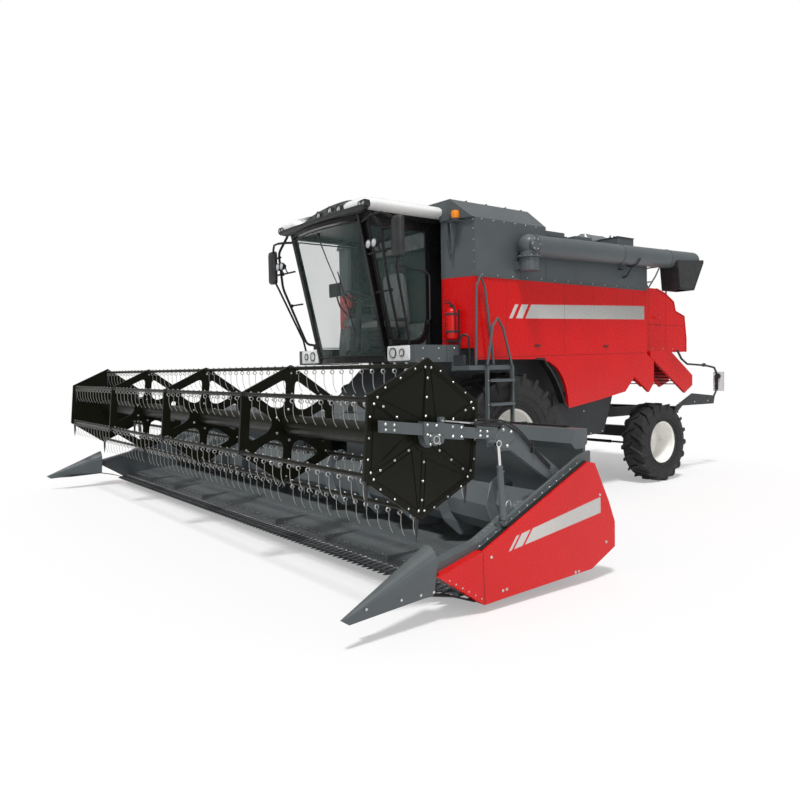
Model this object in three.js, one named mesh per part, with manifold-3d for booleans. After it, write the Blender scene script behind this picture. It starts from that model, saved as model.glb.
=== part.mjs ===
// Combine harvester with a cutting header, in millimetres.
// +Z is up, the machine faces -Y and its left side is +X. Ground is Z = 0.
import * as THREE from 'three';
import { mergeVertices } from 'three/addons/utils/BufferGeometryUtils.js';
import { ConvexGeometry } from 'three/addons/geometries/ConvexGeometry.js';
import Module from 'manifold-3d';

const wasm = await Module();
wasm.setup();

// ---------- driving dimensions ----------
const fit = 0.3;                     // gap between pieces that touch
const wall = 40;                     // body panel thickness

const frontAxle = { y: 720, tyreR: 845, tyreW: 600, rimR: 392, midX: 1300 };
const rearAxle = { y: 3875, tyreR: 588, tyreW: 380, rimR: 312, midX: 1410 };
const kingpinX = 1080;
const steerArm = 250;                // steering arm, behind the kingpin
const axleBeamTop = 945;

const feederPivot = { y: 0, z: 1640 };
const feederHalf = 560;
const bodyHalf = feederHalf + 160;   // threshing body, half width
const panelX = 1500;                 // outer face of the side panels
const panelTop = 2850;
const panelFront = 133;
const panelRear = 3557;

const tankTop = 3790;
const tankFold = 3546;               // height where the tank sides lean inwards
const tankRear = 1375;
const tankTopHalf = 1210;
const bayTop = 3450;                 // engine bay deck

const railX = [bodyHalf + fit, bodyHalf + 80];
const railZ = [axleBeamTop + fit, 1090];
const railY = [300, 4700];

const shaftR = 40;
const runningGap = 0.9;              // between a pin and its bore, both of them sixteen-sided

const headerHalf = 4000;             // inside of the header's end sheets
const endSheet = [headerHalf + 70, headerHalf + 100];  // a header end sheet, inner and outer face
const endPanel = 70;                 // depth of a red end panel
const backWallY = -1075;
const augerAt = { y: -1450, z: 545 };
const augerR = 305;
const augerCoreR = 200;
const flightPitch = 640;
const flightTurns = 5.34;
const turnSteps = 9;                 // rings to one turn of a flight
const coreSides = 9;
const dividerX = headerHalf + 62;
const dividerTip = { x: headerHalf + 150, y: -3517, z: 209 };

const reelAt = { y: -2674, z: 1262 };
const reelHalf = headerHalf - 50;    // outer face of the reel's end plates
const reelR = 515;                   // circle of the tine bars
const reelTurn = 4.6;                // degrees that the top bar leans back
const barCount = 6;
const barR = 17;
const spiderCount = 5;

const spiderThick = 18;
const tineLength = 220;
const tineGap = 440;

const armPivot = { y: -1400, z: 870 };
const armX = [headerHalf + 3, headerHalf + 47];
const armHalf = 40;                  // half the arm's height
const armTip = -3108;
const armElbow = -1960;
const sleeveY = [-2760, -2400];
const armSlope = 0.117;              // rise of the arm per millimetre forwards
const reelLiftX = endSheet[1] + 28;
const reelLiftBase = { y: -2080, z: 615 };
const reelLiftEye = { y: -2130, z: 1200 };

const headLiftX = feederHalf - 130;
const headLiftBase = { y: 560, z: 640 };
const headLiftEye = { y: -640, z: 470 };

const cab = {
  half: 762, halfTop: 790, frontY: -637, frontTopY: -1035, rearY: 165,
  floorZ: 1840.3, floorTop: 1910, sillZ: 2040, topZ: 3560, bulge: 110,
};
const postY = -30;                   // front face of the cab's rear posts
const sideX = 830;                   // outer face of the cab's sides
const doorX = [834, 862];
const doorHinge = { x: 850, y: -45 };
const hingeZ = [2450, 3250];
const hingeTall = 90;
const hingePinR = 6;
const roofHalf = 1000;

const swingAt = { x: 1650, y: 900 }; // swivel of the unloading auger
const tubeR = 133;
const tubeEnd = { y: 4490, z: 3322 };
const tubeZ = 3250;                  // centre height at the swivel

const hood = { half: 950, y: [3575.3, 5500], z: [1962, 2985] };
const tailRear = 6040;               // rearmost edge of the lamp boards

// the origin is on the ground, below the middle of the whole machine
const originY = (dividerTip.y + tailRear) / 2;

// ---------- shape helpers ----------
function solid(geometry) {
  const bare = geometry.index ? geometry.toNonIndexed() : geometry.clone();
  for (const name of Object.keys(bare.attributes)) if (name !== 'position') bare.deleteAttribute(name);
  const merged = mergeVertices(bare, 1e-3);
  return new wasm.Manifold(new wasm.Mesh({
    numProp: 3,
    vertProperties: new Float32Array(merged.attributes.position.array),
    triVerts: new Uint32Array(merged.index.array),
  }));
}

function join(...pieces) {
  return pieces.flat().reduce((all, piece) => all.add(piece));
}

function cut(body, ...tools) {
  return tools.flat().reduce((left, tool) => left.subtract(tool), body);
}

function block(x, y, z) {
  const geometry = new THREE.BoxGeometry(x[1] - x[0], y[1] - y[0], z[1] - z[0]);
  geometry.translate((x[0] + x[1]) / 2, (y[0] + y[1]) / 2, (z[0] + z[1]) / 2);
  return solid(geometry);
}

function outline(points) {
  return new THREE.Shape(points.map(([a, b]) => new THREE.Vector2(a, b)));
}

// a side view outline of [y, z] points, pushed along X
function sidePlate(shape, x) {
  const flat = Array.isArray(shape) ? outline(shape) : shape;
  const geometry = new THREE.ExtrudeGeometry(flat, { depth: x[1] - x[0], bevelEnabled: false,
    curveSegments: 8 });
  geometry.applyMatrix4(new THREE.Matrix4().makeBasis(
    new THREE.Vector3(0, 1, 0), new THREE.Vector3(0, 0, 1), new THREE.Vector3(1, 0, 0)));
  geometry.translate(x[0], 0, 0);
  return solid(geometry);
}

// a plan view outline of [x, y] points, pushed up along Z
function planPlate(shape, z) {
  const flat = Array.isArray(shape) ? outline(shape) : shape;
  const geometry = new THREE.ExtrudeGeometry(flat, { depth: z[1] - z[0], bevelEnabled: false,
    curveSegments: 8 });
  geometry.translate(0, 0, z[0]);
  return solid(geometry);
}

function hull(points) {
  return solid(new ConvexGeometry(points.map((p) => new THREE.Vector3(...p))));
}

function rod(from, to, radius, sides = 12) {
  const a = new THREE.Vector3(...from);
  const b = new THREE.Vector3(...to);
  const geometry = new THREE.CylinderGeometry(radius, radius, a.distanceTo(b), sides);
  const turn = new THREE.Quaternion().setFromUnitVectors(
    new THREE.Vector3(0, 1, 0), b.clone().sub(a).normalize());
  geometry.applyQuaternion(turn);
  geometry.translate(...a.add(b).multiplyScalar(0.5).toArray());
  return solid(geometry);
}

// straight runs joined by round bends
function bentTube(points, radius, bend = 60, sides = 6) {
  const at = points.map((p) => new THREE.Vector3(...p));
  const path = new THREE.CurvePath();
  let start = at[0];
  for (let i = 1; i < at.length - 1; i += 1) {
    const before = at[i].clone().add(start.clone().sub(at[i]).setLength(bend));
    const after = at[i].clone().add(at[i + 1].clone().sub(at[i]).setLength(bend));
    path.add(new THREE.LineCurve3(start, before));
    path.add(new THREE.QuadraticBezierCurve3(before, at[i], after));
    start = after;
  }
  path.add(new THREE.LineCurve3(start, at[at.length - 1]));
  const ring = new THREE.Shape();
  ring.absarc(0, 0, radius, 0, Math.PI * 2);
  const steps = Math.max(6, Math.round(path.getLength() / 160));
  const geometry = new THREE.ExtrudeGeometry(ring, {
    extrudePath: path, steps, curveSegments: sides / 2, bevelEnabled: false,
  });
  return solid(geometry);
}

// a closed [radius, x] profile turned about an X axis
function wheelTurn(profile, sides) {
  const points = profile.map(([r, x]) => new THREE.Vector2(r, x));
  points.push(points[0].clone());
  const geometry = new THREE.LatheGeometry(points, sides);
  geometry.rotateZ(-Math.PI / 2);
  return solid(geometry);
}

// the same on both sides of the middle plane
function mirrored(piece) {
  return piece.mirror([1, 0, 0]);
}

function bothSides(piece) {
  return [piece, mirrored(piece)];
}

// a closed surface from its points and faces, turned so that its faces look outwards
function facing(positions, faces) {
  const geometry = new THREE.BufferGeometry();
  geometry.setAttribute('position', new THREE.Float32BufferAttribute(positions, 3));
  geometry.setIndex(faces);
  const made = solid(geometry);
  if (made.volume() > 0) return made;
  geometry.setIndex(faces.map((value, k) => faces[k - (k % 3) + [0, 2, 1][k % 3]]));
  return solid(geometry);
}

// a curved pane: at(u, v) gives its outer face and step its way inwards
function pane(at, step, across, along) {
  const outer = [];
  for (let i = 0; i <= across; i += 1) {
    for (let j = 0; j <= along; j += 1) outer.push(at(i / across, j / along));
  }
  const inner = outer.map((p) => p.map((value, k) => value + step[k]));
  const row = along + 1;
  const back = outer.length;
  const faces = [];
  const quad = (a, b, c, d) => faces.push(a, b, c, a, c, d);
  for (let i = 0; i < across; i += 1) {
    for (let j = 0; j < along; j += 1) {
      const a = i * row + j;
      quad(a, a + row, a + row + 1, a + 1);
      quad(back + a, back + a + 1, back + a + row + 1, back + a + row);
    }
  }
  const edge = [];
  for (let i = 0; i < across; i += 1) edge.push(i * row);
  for (let j = 0; j < along; j += 1) edge.push(across * row + j);
  for (let i = across; i > 0; i -= 1) edge.push(i * row + along);
  for (let j = along; j > 0; j -= 1) edge.push(j);
  edge.forEach((a, k) => {
    const b = edge[(k + 1) % edge.length];
    quad(b, a, back + a, back + b);
  });
  return facing([...outer, ...inner].flat(), faces);
}

// ---------- colours ----------
const colours = {
  red: [0xc8140c, 0.3, 0.1], grey: [0x55595b, 0.5, 0.3], dark: [0x26282a, 0.6, 0.2],
  black: [0x101112, 0.45, 0.1], white: [0xe6e6e2, 0.35, 0], cream: [0xd6d3c4, 0.5, 0.1],
  tyre: [0x18181a, 0.9, 0], olive: [0x17150e, 0.4, 0.2], steel: [0xa8acaf, 0.3, 0.9],
  glass: [0x9fb8b4, 0.05, 0], seat: [0x4a4e50, 0.85, 0],
};

const machine = new THREE.Group();
machine.position.set(0, -originY, 0);

function add(name, piece, colour) {
  const [color, roughness, metalness] = colours[colour];
  const mesh = piece.getMesh();
  const geometry = new THREE.BufferGeometry();
  geometry.setAttribute('position', new THREE.Float32BufferAttribute(mesh.vertProperties, 3));
  geometry.setIndex([...mesh.triVerts]);
  geometry.computeVertexNormals();
  const made = new THREE.Mesh(geometry, new THREE.MeshStandardMaterial({ color, roughness, metalness }));
  made.name = name;
  machine.add(made);
}

function addPair(name, piece, colour) {
  add(`${name}_left`, piece, colour);
  add(`${name}_right`, mirrored(piece), colour);
}

// ---------- chassis ----------
function chassisFrame() {
  const rails = bothSides(block(railX, railY, railZ));
  const crossZ = [railZ[0], railZ[0] + 90];
  const reach = [-railX[0], railX[0]];
  const crosses = [[railY[0], 380], [3650, 3730], [4600, 4700]].map((y) => block(reach, y, crossZ));
  const shieldX = [1290, 1310];
  const shield = sidePlate(
    [[1700, 665], [2310, 700], [2330, 765], [2790, 790], [2990, 1290], [2990, 1400], [1700, 1400]],
    shieldX);
  const strutY = [[1760, 1820], [2840, 2900]];
  const struts = strutY.map((y) => block([railX[1], shieldX[0]], y, [1010, 1070]));
  const shielding = [shield, ...struts].flatMap(bothSides);
  return join(rails, crosses, shielding);
}

function threshingBody() {
  const shell = sidePlate([
    [100, 1250], [1000, 1130], [1250, 640], [2800, 640], [3300, 900], [3640, 1140], [3700, 1200],
    [3700, hood.z[0] + 34], [4400, hood.z[0] + 34], [4400, 2700], [tankRear + 15, 2700],
    [tankRear + 15, 1990], [180, 1990], [180, 1840], [100, 1840]], [-bodyHalf, bodyHalf]);
  const bore = pinHole(feederPivot, [-bodyHalf + 20, bodyHalf - 20], shaftR);
  const ear = sidePlate([[100, 1540], [-60, 1560], [-90, 1640], [-60, 1720], [100, 1740]],
    [feederHalf + 65, feederHalf + 105]);
  return cut(join(shell, bothSides(ear)), bore);
}

function grainTank() {
  const frontY = 16;
  const lower = block([-1455, 1455], [200, tankRear], [1990 + fit, panelTop + 1]);
  const recess = 1010;
  const plan = [[-panelX, panelFront], [-1085, frontY], [-recess, frontY], [-recess, 230], [recess, 230],
    [recess, frontY], [1085, frontY], [panelX, panelFront], [panelX, tankRear], [-panelX, tankRear]];
  const middle = planPlate(plan, [panelTop + fit, tankFold]);
  const corners = [[panelX, 86], [panelX, tankRear], [1085, -4]].flatMap(([x, y]) => [[x, y, tankFold],
    [-x, y, tankFold]]);
  const rim = [[tankTopHalf, -5], [tankTopHalf, tankRear - 20]].flatMap(([x, y]) => [[x, y, tankTop],
    [-x, y, tankTop]]);
  const upper = cut(hull([...corners, ...rim]), block([-recess, recess], [-60, 230], [tankFold - 1, 3740]));
  const hopper = hull([
    ...[[1400, 260], [1400, 1320]].flatMap(([x, y]) => [[x, y, 2900], [-x, y, 2900]]),
    ...[[250, 700], [250, 900]].flatMap(([x, y]) => [[x, y, 2080], [-x, y, 2080]])]);
  const hold = block([-1460, 1460], [270, tankRear - wall], [2890, tankFold]);
  const mouth = hull([
    ...[[1460, 270], [1460, tankRear - wall]].flatMap(([x, y]) => [[x, y, tankFold - 1], [-x, y,
      tankFold - 1]]),
    ...[[tankTopHalf - 35, 270], [tankTopHalf - 35, tankRear - 60]].flatMap(
      ([x, y]) => [[x, y, tankTop + 1], [-x, y, tankTop + 1]])]);
  const shelf = block([panelX - 10, swingAt.x], [790, 1010], [2960, 3060]);
  const socket = rod([swingAt.x, swingAt.y, 2940], [swingAt.x, swingAt.y, 3095], 125, 16);
  return join(cut(join(lower, middle, upper), hopper, hold, mouth), shelf, socket);
}

function engineBay() {
  const y = [tankRear + fit, 3575];
  const outer = block([-panelX, panelX], y, [panelTop + fit, bayTop]);
  const inside = block([-panelX + wall, panelX - wall], [y[0] + wall, y[1] - wall], [panelTop - 1,
    bayTop - wall]);
  const step = block([-panelX, panelX], [y[0], 1740], [bayTop - 1, 3505]);
  const vent = block([-500, 900], [1800, 2500], [bayTop - wall - 1, bayTop + 1]);
  return cut(join(outer, step), inside, vent);
}

function engineScreen() {
  const low = block([-540, 940], [1760, 2560], [bayTop - 1, 3560]);
  const lid = sidePlate([[1780, 3600], [2560, 3560], [2760, 3640], [2740, 3660], [2560, 3600], [1780,
    3640]], [-520, 920]);
  const stand = block([-500, 900], [1790, 2500], [3559, 3610]);
  const slots = [0, 1, 2, 3].map((k) => block([-480, 880], [1800 + 180 * k, 1900 + 180 * k], [bayTop - 2,
    3530]));
  return cut(join(low, stand, lid), slots);
}

function silencer() {
  const z = bayTop + 130;
  const drum = rod([950, 2760, z], [950, 3280, z], 105, 20);
  const tail = bentTube([[950, 3270, z], [950, 3420, z + 10], [950, 3500, z + 120]], 50, 50, 12);
  const feet = [2860, 3180].map((y) => block([910, 990], [y, y + 40], [bayTop + fit, z]));
  return join(drum, tail, feet);
}

function sidePanel() {
  const arch = new THREE.Shape();
  arch.moveTo(panelFront, 1850);
  arch.lineTo(panelFront, panelTop);
  arch.lineTo(panelRear, panelTop);
  arch.lineTo(panelRear, 1925);
  arch.lineTo(3744, 1808);
  arch.lineTo(3743, 1479);
  arch.lineTo(3619, 1348);
  arch.lineTo(3262, 1579);
  arch.lineTo(3046, 1374);
  arch.lineTo(2464, 1281);
  arch.lineTo(1807, 1190);
  arch.quadraticCurveTo(1760, 1850, 1180, 1850);
  const side = sidePlate(arch, [panelX - wall, panelX]);
  const corner = planPlate([[1012, 16], [1085, 16], [panelX - 5, panelFront + 1], [panelX - 5,
    panelFront + 40],
    [1075, 50], [1012, 50]], [1990, panelTop]);
  return join(side, corner);
}

function strawHood() {
  const [y0, y1] = hood.y;
  const [z0, z1] = hood.z;
  const profile = [[y0, z0], [y0, z1], [4650, z1], [4880, 2920], [5130, 2790], [5180, 2640], [5440, 2560],
    [y1, 2180], [y1, z0]];
  const cavity = [[y0 - 1, z0 - 1], [y0 - 1, z1 - 30], [4640, z1 - 30], [4865, 2893], [5105, 2770],
    [5155, 2620],
    [5415, 2540], [y1 - 30, 2178], [y1 - 30, z0 - 1]];
  const shell = cut(sidePlate(profile, [-hood.half, hood.half]), sidePlate(cavity, [-hood.half + 30,
    hood.half - 30]));
  const wing = block([hood.half - 1, panelX - wall - 5], [y0, y0 + 30], [z0, panelTop]);
  return join(shell, bothSides(wing));
}

function deflector() {
  const sideOutline = [[3760, 1876], [4685, 1305], [4896, 1416], [4896, 1577], [4290, hood.z[0] - fit],
    [3760, hood.z[0] - fit]];
  const cheeks = bothSides(sidePlate(sideOutline, [1396, 1430]));
  const top = sidePlate([[4290, hood.z[0] - fit], [4896, 1577], [4896, 1540], [4280, hood.z[0] - 40],
    [3702, hood.z[0] - 40],
    [3702, hood.z[0] - fit]], [-1397, 1397]);
  const front = block([-1397, 1397], [3760, 3790], [1880, hood.z[0] - 39]);
  const vaneOutline = [[3775, 1870], [4560, 1390], [4830, 1480], [4850, 1590], [4280, hood.z[0] - 39],
    [3775, hood.z[0] - 39]];
  const vanes = [-1050, -700, -350, 0, 350, 700, 1050].map((x) => sidePlate(vaneOutline, [x - 8, x + 8]));
  return join(cheeks, top, front, vanes);
}

function tailBar() {
  const beam = block([-1250, 1250], [railY[1] + fit, 4790], [970, 1080]);
  const armX3 = [1200, 1225];
  const arm = sidePlate([[4780, 970], [4950, 1080], [tailRear - 150, 1075], [tailRear - 110, 1210],
    [5250, 1270], [4780, 1080]], armX3);
  const board = block([1150, 1330], [tailRear - 25, tailRear - 5], [1290, 1610]);
  const lamp = rod([1240, tailRear - 60, 1540], [1240, tailRear, 1540], 45, 16);
  const rung = rod([1212, tailRear - 150, 1170], [1212, tailRear - 15, 1330], 16);
  const arm2 = bentTube([[hood.half + 22, 5200, 1990], [1060, 5250, 1760], [1150, 5600, 1735], [1215,
    5930, 1700],
    [1215, tailRear - 18, 1560]], 18, 60);
  return join(beam, [arm, board, lamp, rung, arm2].flatMap(bothSides));
}

// ---------- axles and wheels ----------
function frontAxleBeam() {
  const y = [frontAxle.y - 100, frontAxle.y + 100];
  const beam = block([-railX[1] - 20, railX[1] + 20], y, [745, axleBeamTop]);
  const drive = block([railX[1] + 5, 960], [frontAxle.y - 170, frontAxle.y + 170], [620, 1090]);
  const stub = rod([950, frontAxle.y, frontAxle.tyreR], [1060 - fit, frontAxle.y, frontAxle.tyreR], 150,
    20);
  const { y: baseY, z: baseZ } = headLiftBase;
  const lugShape = [[baseY - 60, baseZ - 60], [baseY + 60, baseZ - 60], [frontAxle.y, 746], [y[0] + 1, 900],
    [baseY - 60, baseZ + 60]];
  const lugs = [-1, 1].map((side) => lugBeside(lugShape, side));
  return cut(join(beam, [drive, stub, ...lugs].flatMap(bothSides)), pinHole(headLiftBase, [-600, 600],
    headPinR));
}

function rearAxleBeam() {
  const y = [rearAxle.y - 80, rearAxle.y + 80];
  const beam = block([-950, 950], y, [640, 800]);
  const forkY = [rearAxle.y - 60, rearAxle.y + 60];
  const web = block([940, 990], [rearAxle.y - 50, rearAxle.y + 50], [470, 800]);
  const upper = block([980, kingpinX + 60], forkY, [760, 800]);
  const lower = block([980, kingpinX + 60], forkY, [470, 510]);
  const hanger = block([-200, 200], [3650, 3960], [795, railZ[0] - fit]);
  const bore = rod([kingpinX, rearAxle.y, 400], [kingpinX, rearAxle.y, 900], 28 + runningGap, 16);
  const arms = bothSides(cut(join(web, upper, lower), bore));
  return join(beam, arms, hanger);
}

function knuckle() {
  const pin = rod([kingpinX, rearAxle.y, 440], [kingpinX, rearAxle.y, 830], 28, 16);
  const barrel = rod([kingpinX, rearAxle.y, 516], [kingpinX, rearAxle.y, 754], 56, 16);
  const spindle = rod([kingpinX, rearAxle.y, rearAxle.tyreR], [1240 - fit, rearAxle.y, rearAxle.tyreR],
    50, 12);
  const arm = planPlate([[kingpinX - 35, rearAxle.y], [kingpinX + 35, rearAxle.y], [kingpinX + 28,
    rearAxle.y + steerArm + 28],
    [kingpinX - 28, rearAxle.y + steerArm + 28]], [530, 560]);
  const ball = rod([kingpinX, rearAxle.y + steerArm, 500], [kingpinX, rearAxle.y + steerArm, 562], 14, 16);
  return join(pin, barrel, spindle, arm, ball);
}

function tieRod() {
  const y = rearAxle.y + steerArm;
  const bar = rod([-kingpinX, y, 504], [kingpinX, y, 504], 16, 12);
  const eyes = bothSides(rod([kingpinX, y, 484], [kingpinX, y, 524], 34, 16));
  const holes = bothSides(rod([kingpinX, y, 470], [kingpinX, y, 540], 14 + runningGap, 16));
  return cut(join(bar, eyes), holes);
}

function tyre(axle, sides) {
  const half = axle.tyreW / 2;
  const { tyreR, rimR } = axle;
  const crown = tyreR - rimR;
  const profile = [[rimR, -half * 0.8], [rimR + crown * 0.35, -half], [rimR + crown * 0.72, -half * 0.97],
    [tyreR - crown * 0.06, -half * 0.86], [tyreR, -half * 0.72], [tyreR, half * 0.72],
    [tyreR - crown * 0.06, half * 0.86],
    [rimR + crown * 0.72, half * 0.97], [rimR + crown * 0.35, half], [rimR, half * 0.8]];
  return wheelTurn(profile, sides).translate([axle.midX, axle.y, tyreR]);
}

function rim(axle, hubX, hubR, sides) {
  const half = axle.tyreW / 2 * 0.8;
  const disc = hubX - axle.midX;
  const r = axle.rimR - 1;
  const profile = [[r, -half], [r, half], [r - 26, half], [r - 34, half * 0.3], [r - 60, disc + 14],
    [hubR * 1.3, disc + 14],
    [hubR, disc + 40], [hubR * 0.5, disc + 70], [0, disc + 70], [0, disc], [hubR * 1.3, disc],
    [r - 60, disc - 4], [r - 40, disc - 20], [r - 26, -half]];
  return wheelTurn(profile, sides).translate([axle.midX, axle.y, axle.tyreR]);
}

// ---------- cylinders ----------
// the barrel and the rod of a ram lying from base to eye, each with a bored eye
function ramFrame(base, eye) {
  const length = Math.hypot(eye.y - base.y, eye.z - base.z);
  return { length, along: [(eye.y - base.y) / length, (eye.z - base.z) / length] };
}

function onRam(base, eye, x, distance) {
  const { along } = ramFrame(base, eye);
  return [x, base.y + along[0] * distance, base.z + along[1] * distance];
}

function ramBarrel(base, eye, x, size) {
  const at = (distance) => onRam(base, eye, x, distance);
  const body = rod(at(size.neck), at(size.barrel), size.barrelR, 12);
  const neck = rod(at(0), at(size.neck + 5), size.eyeHalf - 2, 12);
  const bore = rod(at(size.neck + 16), at(size.barrel + 10), size.rodR + runningGap, 16);
  const ring = rod([x - size.eyeHalf, base.y, base.z], [x + size.eyeHalf, base.y, base.z], size.eyeR, 16);
  return cut(join(body, neck, ring), bore);
}

function ramRod(base, eye, x, size) {
  const { length } = ramFrame(base, eye);
  const at = (distance) => onRam(base, eye, x, distance);
  const body = rod(at(length - size.rod), at(length), size.rodR, 16);
  const ring = rod([x - size.eyeHalf, eye.y, eye.z], [x + size.eyeHalf, eye.y, eye.z], size.eyeR, 16);
  return join(body, ring);
}

function pinHole(pivot, x, radius) {
  return rod([x[0], pivot.y, pivot.z], [x[1], pivot.y, pivot.z], radius + runningGap, 16);
}

const headRam = { neck: 80, barrel: 720, rod: 985, barrelR: 52, rodR: 30, eyeR: 50, eyeHalf: 32 };
const headPinR = 25;
const eyeSlack = 6;                  // a ram's eye wanders this far about its pin as it lifts
const reelRam = { neck: 26, barrel: 425, rod: 432, barrelR: 24, rodR: 13, eyeR: 26, eyeHalf: 11 };
const reelPinR = 13;
const reelEyeX = [endSheet[1] + 2, reelLiftX + 32];

// a lug plate close beside a header ram's eye
function lugBeside(shape, side) {
  const near = headLiftX + side * (headRam.eyeHalf + 2 * fit);
  const far = near + side * 22;
  return sidePlate(shape, [Math.min(near, far), Math.max(near, far)]);
}

function liftBarrels() {
  const shaft = rod([-headLiftX - 64, headLiftBase.y, headLiftBase.z], [headLiftX + 64, headLiftBase.y,
    headLiftBase.z],
    headPinR, 16);
  return join(bothSides(ramBarrel(headLiftBase, headLiftEye, headLiftX, headRam)), shaft);
}

function liftRods() {
  const pin = rod([-headLiftX - 54, headLiftEye.y, headLiftEye.z], [headLiftX + 54, headLiftEye.y,
    headLiftEye.z],
    headPinR, 16);
  return join(bothSides(ramRod(headLiftBase, headLiftEye, headLiftX, headRam)), pin);
}

function reelLiftBarrel() {
  return cut(ramBarrel(reelLiftBase, reelLiftEye, reelLiftX, reelRam), pinHole(reelLiftBase, reelEyeX,
    reelPinR));
}

function reelLiftRod() {
  return cut(ramRod(reelLiftBase, reelLiftEye, reelLiftX, reelRam), pinHole(reelLiftEye, reelEyeX,
    reelPinR + eyeSlack));
}

// ---------- feeder house and header ----------
function feederHouse() {
  const outer = [[-40, 1180], [-40, 1740], [-150, 1760], [-1000, 940], [backWallY + fit, 940],
    [backWallY + fit, 340], [-900, 340]];
  const inner = [[-39, 1215], [-39, 1700], [-150, 1715], [-985, 905], [backWallY - 1, 905],
    [backWallY - 1, 375],
    [-905, 375]];
  const innerHalf = feederHalf - 35;
  const shell = sidePlate(outer, [-feederHalf, feederHalf]);
  const shaft = rod([innerHalf, feederPivot.y, feederPivot.z], [bodyHalf - 30, feederPivot.y,
    feederPivot.z], shaftR, 16);
  const boss = sidePlate([[-45, 1560], [60, 1580], [60, 1700], [-45, 1720]], [innerHalf, feederHalf]);
  const { y, z } = headLiftEye;
  const lugShape = [[y - 50, z - 40], [y + 50, z - 40], [y + 90, 702], [y - 120, 499]];
  const lugs = [-1, 1].map((side) => lugBeside(lugShape, side));
  const whole = join(shell, bothSides(join(shaft, boss)), lugs.flatMap(bothSides));
  return cut(whole, sidePlate(inner, [-innerHalf, innerHalf]), pinHole(headLiftEye, [-600, 600],
    headPinR + eyeSlack));
}

function headerFrame() {
  const [sheetIn, sheetOut] = endSheet;
  const reach = [-sheetIn - 1, sheetIn + 1];
  const table = sidePlate([[-2350, 105], [-2350, 135], [-1900, 190], [-1450, 215], [-1250, 262], [-1110,
    420],
    [backWallY - 25, 1180], [backWallY, 1180], [backWallY, 400], [-1170, 215], [-1430, 165], [-1880, 130],
    [-2330, 90]], reach);
  const beam = sidePlate([[-1250, 1130], [-1200, 1240], [-1050, 1240], [-1050, 1120], [-1100, 1080],
    [-1200, 1080]],
    reach);
  const knife = block([-headerHalf, headerHalf], [-2420, -2345], [100, 128]);
  const sheet = sidePlate([[-2750, 400], [-2300, 500], [-1180, 1030], [-1050, 1060], [-1050, 300],
    [-1180, 120],
    [-2130, 85], [-2350, 85], [-2750, 330]], [sheetIn, sheetOut]);
  const ledge = sidePlate([[-2750, 400], [-2300, 500], [-1800, 737], [-1800, 717], [-2300, 478], [-2750,
    378]],
    [headerHalf, sheetIn + 1]);
  const armBoss = rod([sheetIn, armPivot.y, armPivot.z], [sheetOut, armPivot.y, armPivot.z], 60, 16);
  const armPin = rod([armX[0] + 4, armPivot.y, armPivot.z], [sheetIn + 5, armPivot.y, armPivot.z], 24, 16);
  const liftBoss = rod([sheetIn, reelLiftBase.y, reelLiftBase.z], [sheetOut, reelLiftBase.y,
    reelLiftBase.z], 45, 16);
  const liftPin = rod([sheetIn, reelLiftBase.y, reelLiftBase.z], [reelLiftX + 22, reelLiftBase.y,
    reelLiftBase.z],
    reelPinR, 16);
  const ends = bothSides(join(sheet, ledge, divider(), armBoss, armPin, liftBoss, liftPin));
  const throat = block([-feederHalf + 35, feederHalf - 35], [-1200, -1000], [430, 905]);
  return cut(join(table, beam, knife, ends), throat, pinHole(augerAt, [-endSheet[1] - 100,
    endSheet[1] + 100], shaftR));
}

function redEndPanel() {
  const inner = endSheet[1] + fit;
  return sidePlate([[-2745, 340], [-2330, 450], [-1160, 985], [-1080, 965], [-900, 633], [-822, 454],
    [-822, 245],
    [-1124, 108], [-2131, 70], [-2322, 62]], [inner, inner + endPanel]);
}

function divider() {
  const rearY = -2748;
  const ring = [];
  for (let k = 0; k <= 8; k += 1) {
    const turn = Math.PI * k / 8;
    ring.push([dividerX + 105 * Math.cos(turn), rearY, 430 + 115 * Math.sin(turn)]);
  }
  const tip = [-12, 12].map((side) => [dividerTip.x + side, dividerTip.y, dividerTip.z]);
  const keel = [[dividerX - 60, rearY, 210], [dividerX + 60, rearY, 210],
    [dividerTip.x, dividerTip.y + 60, dividerTip.z - 40]];
  return hull([...ring, ...tip, ...keel]);
}

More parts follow.
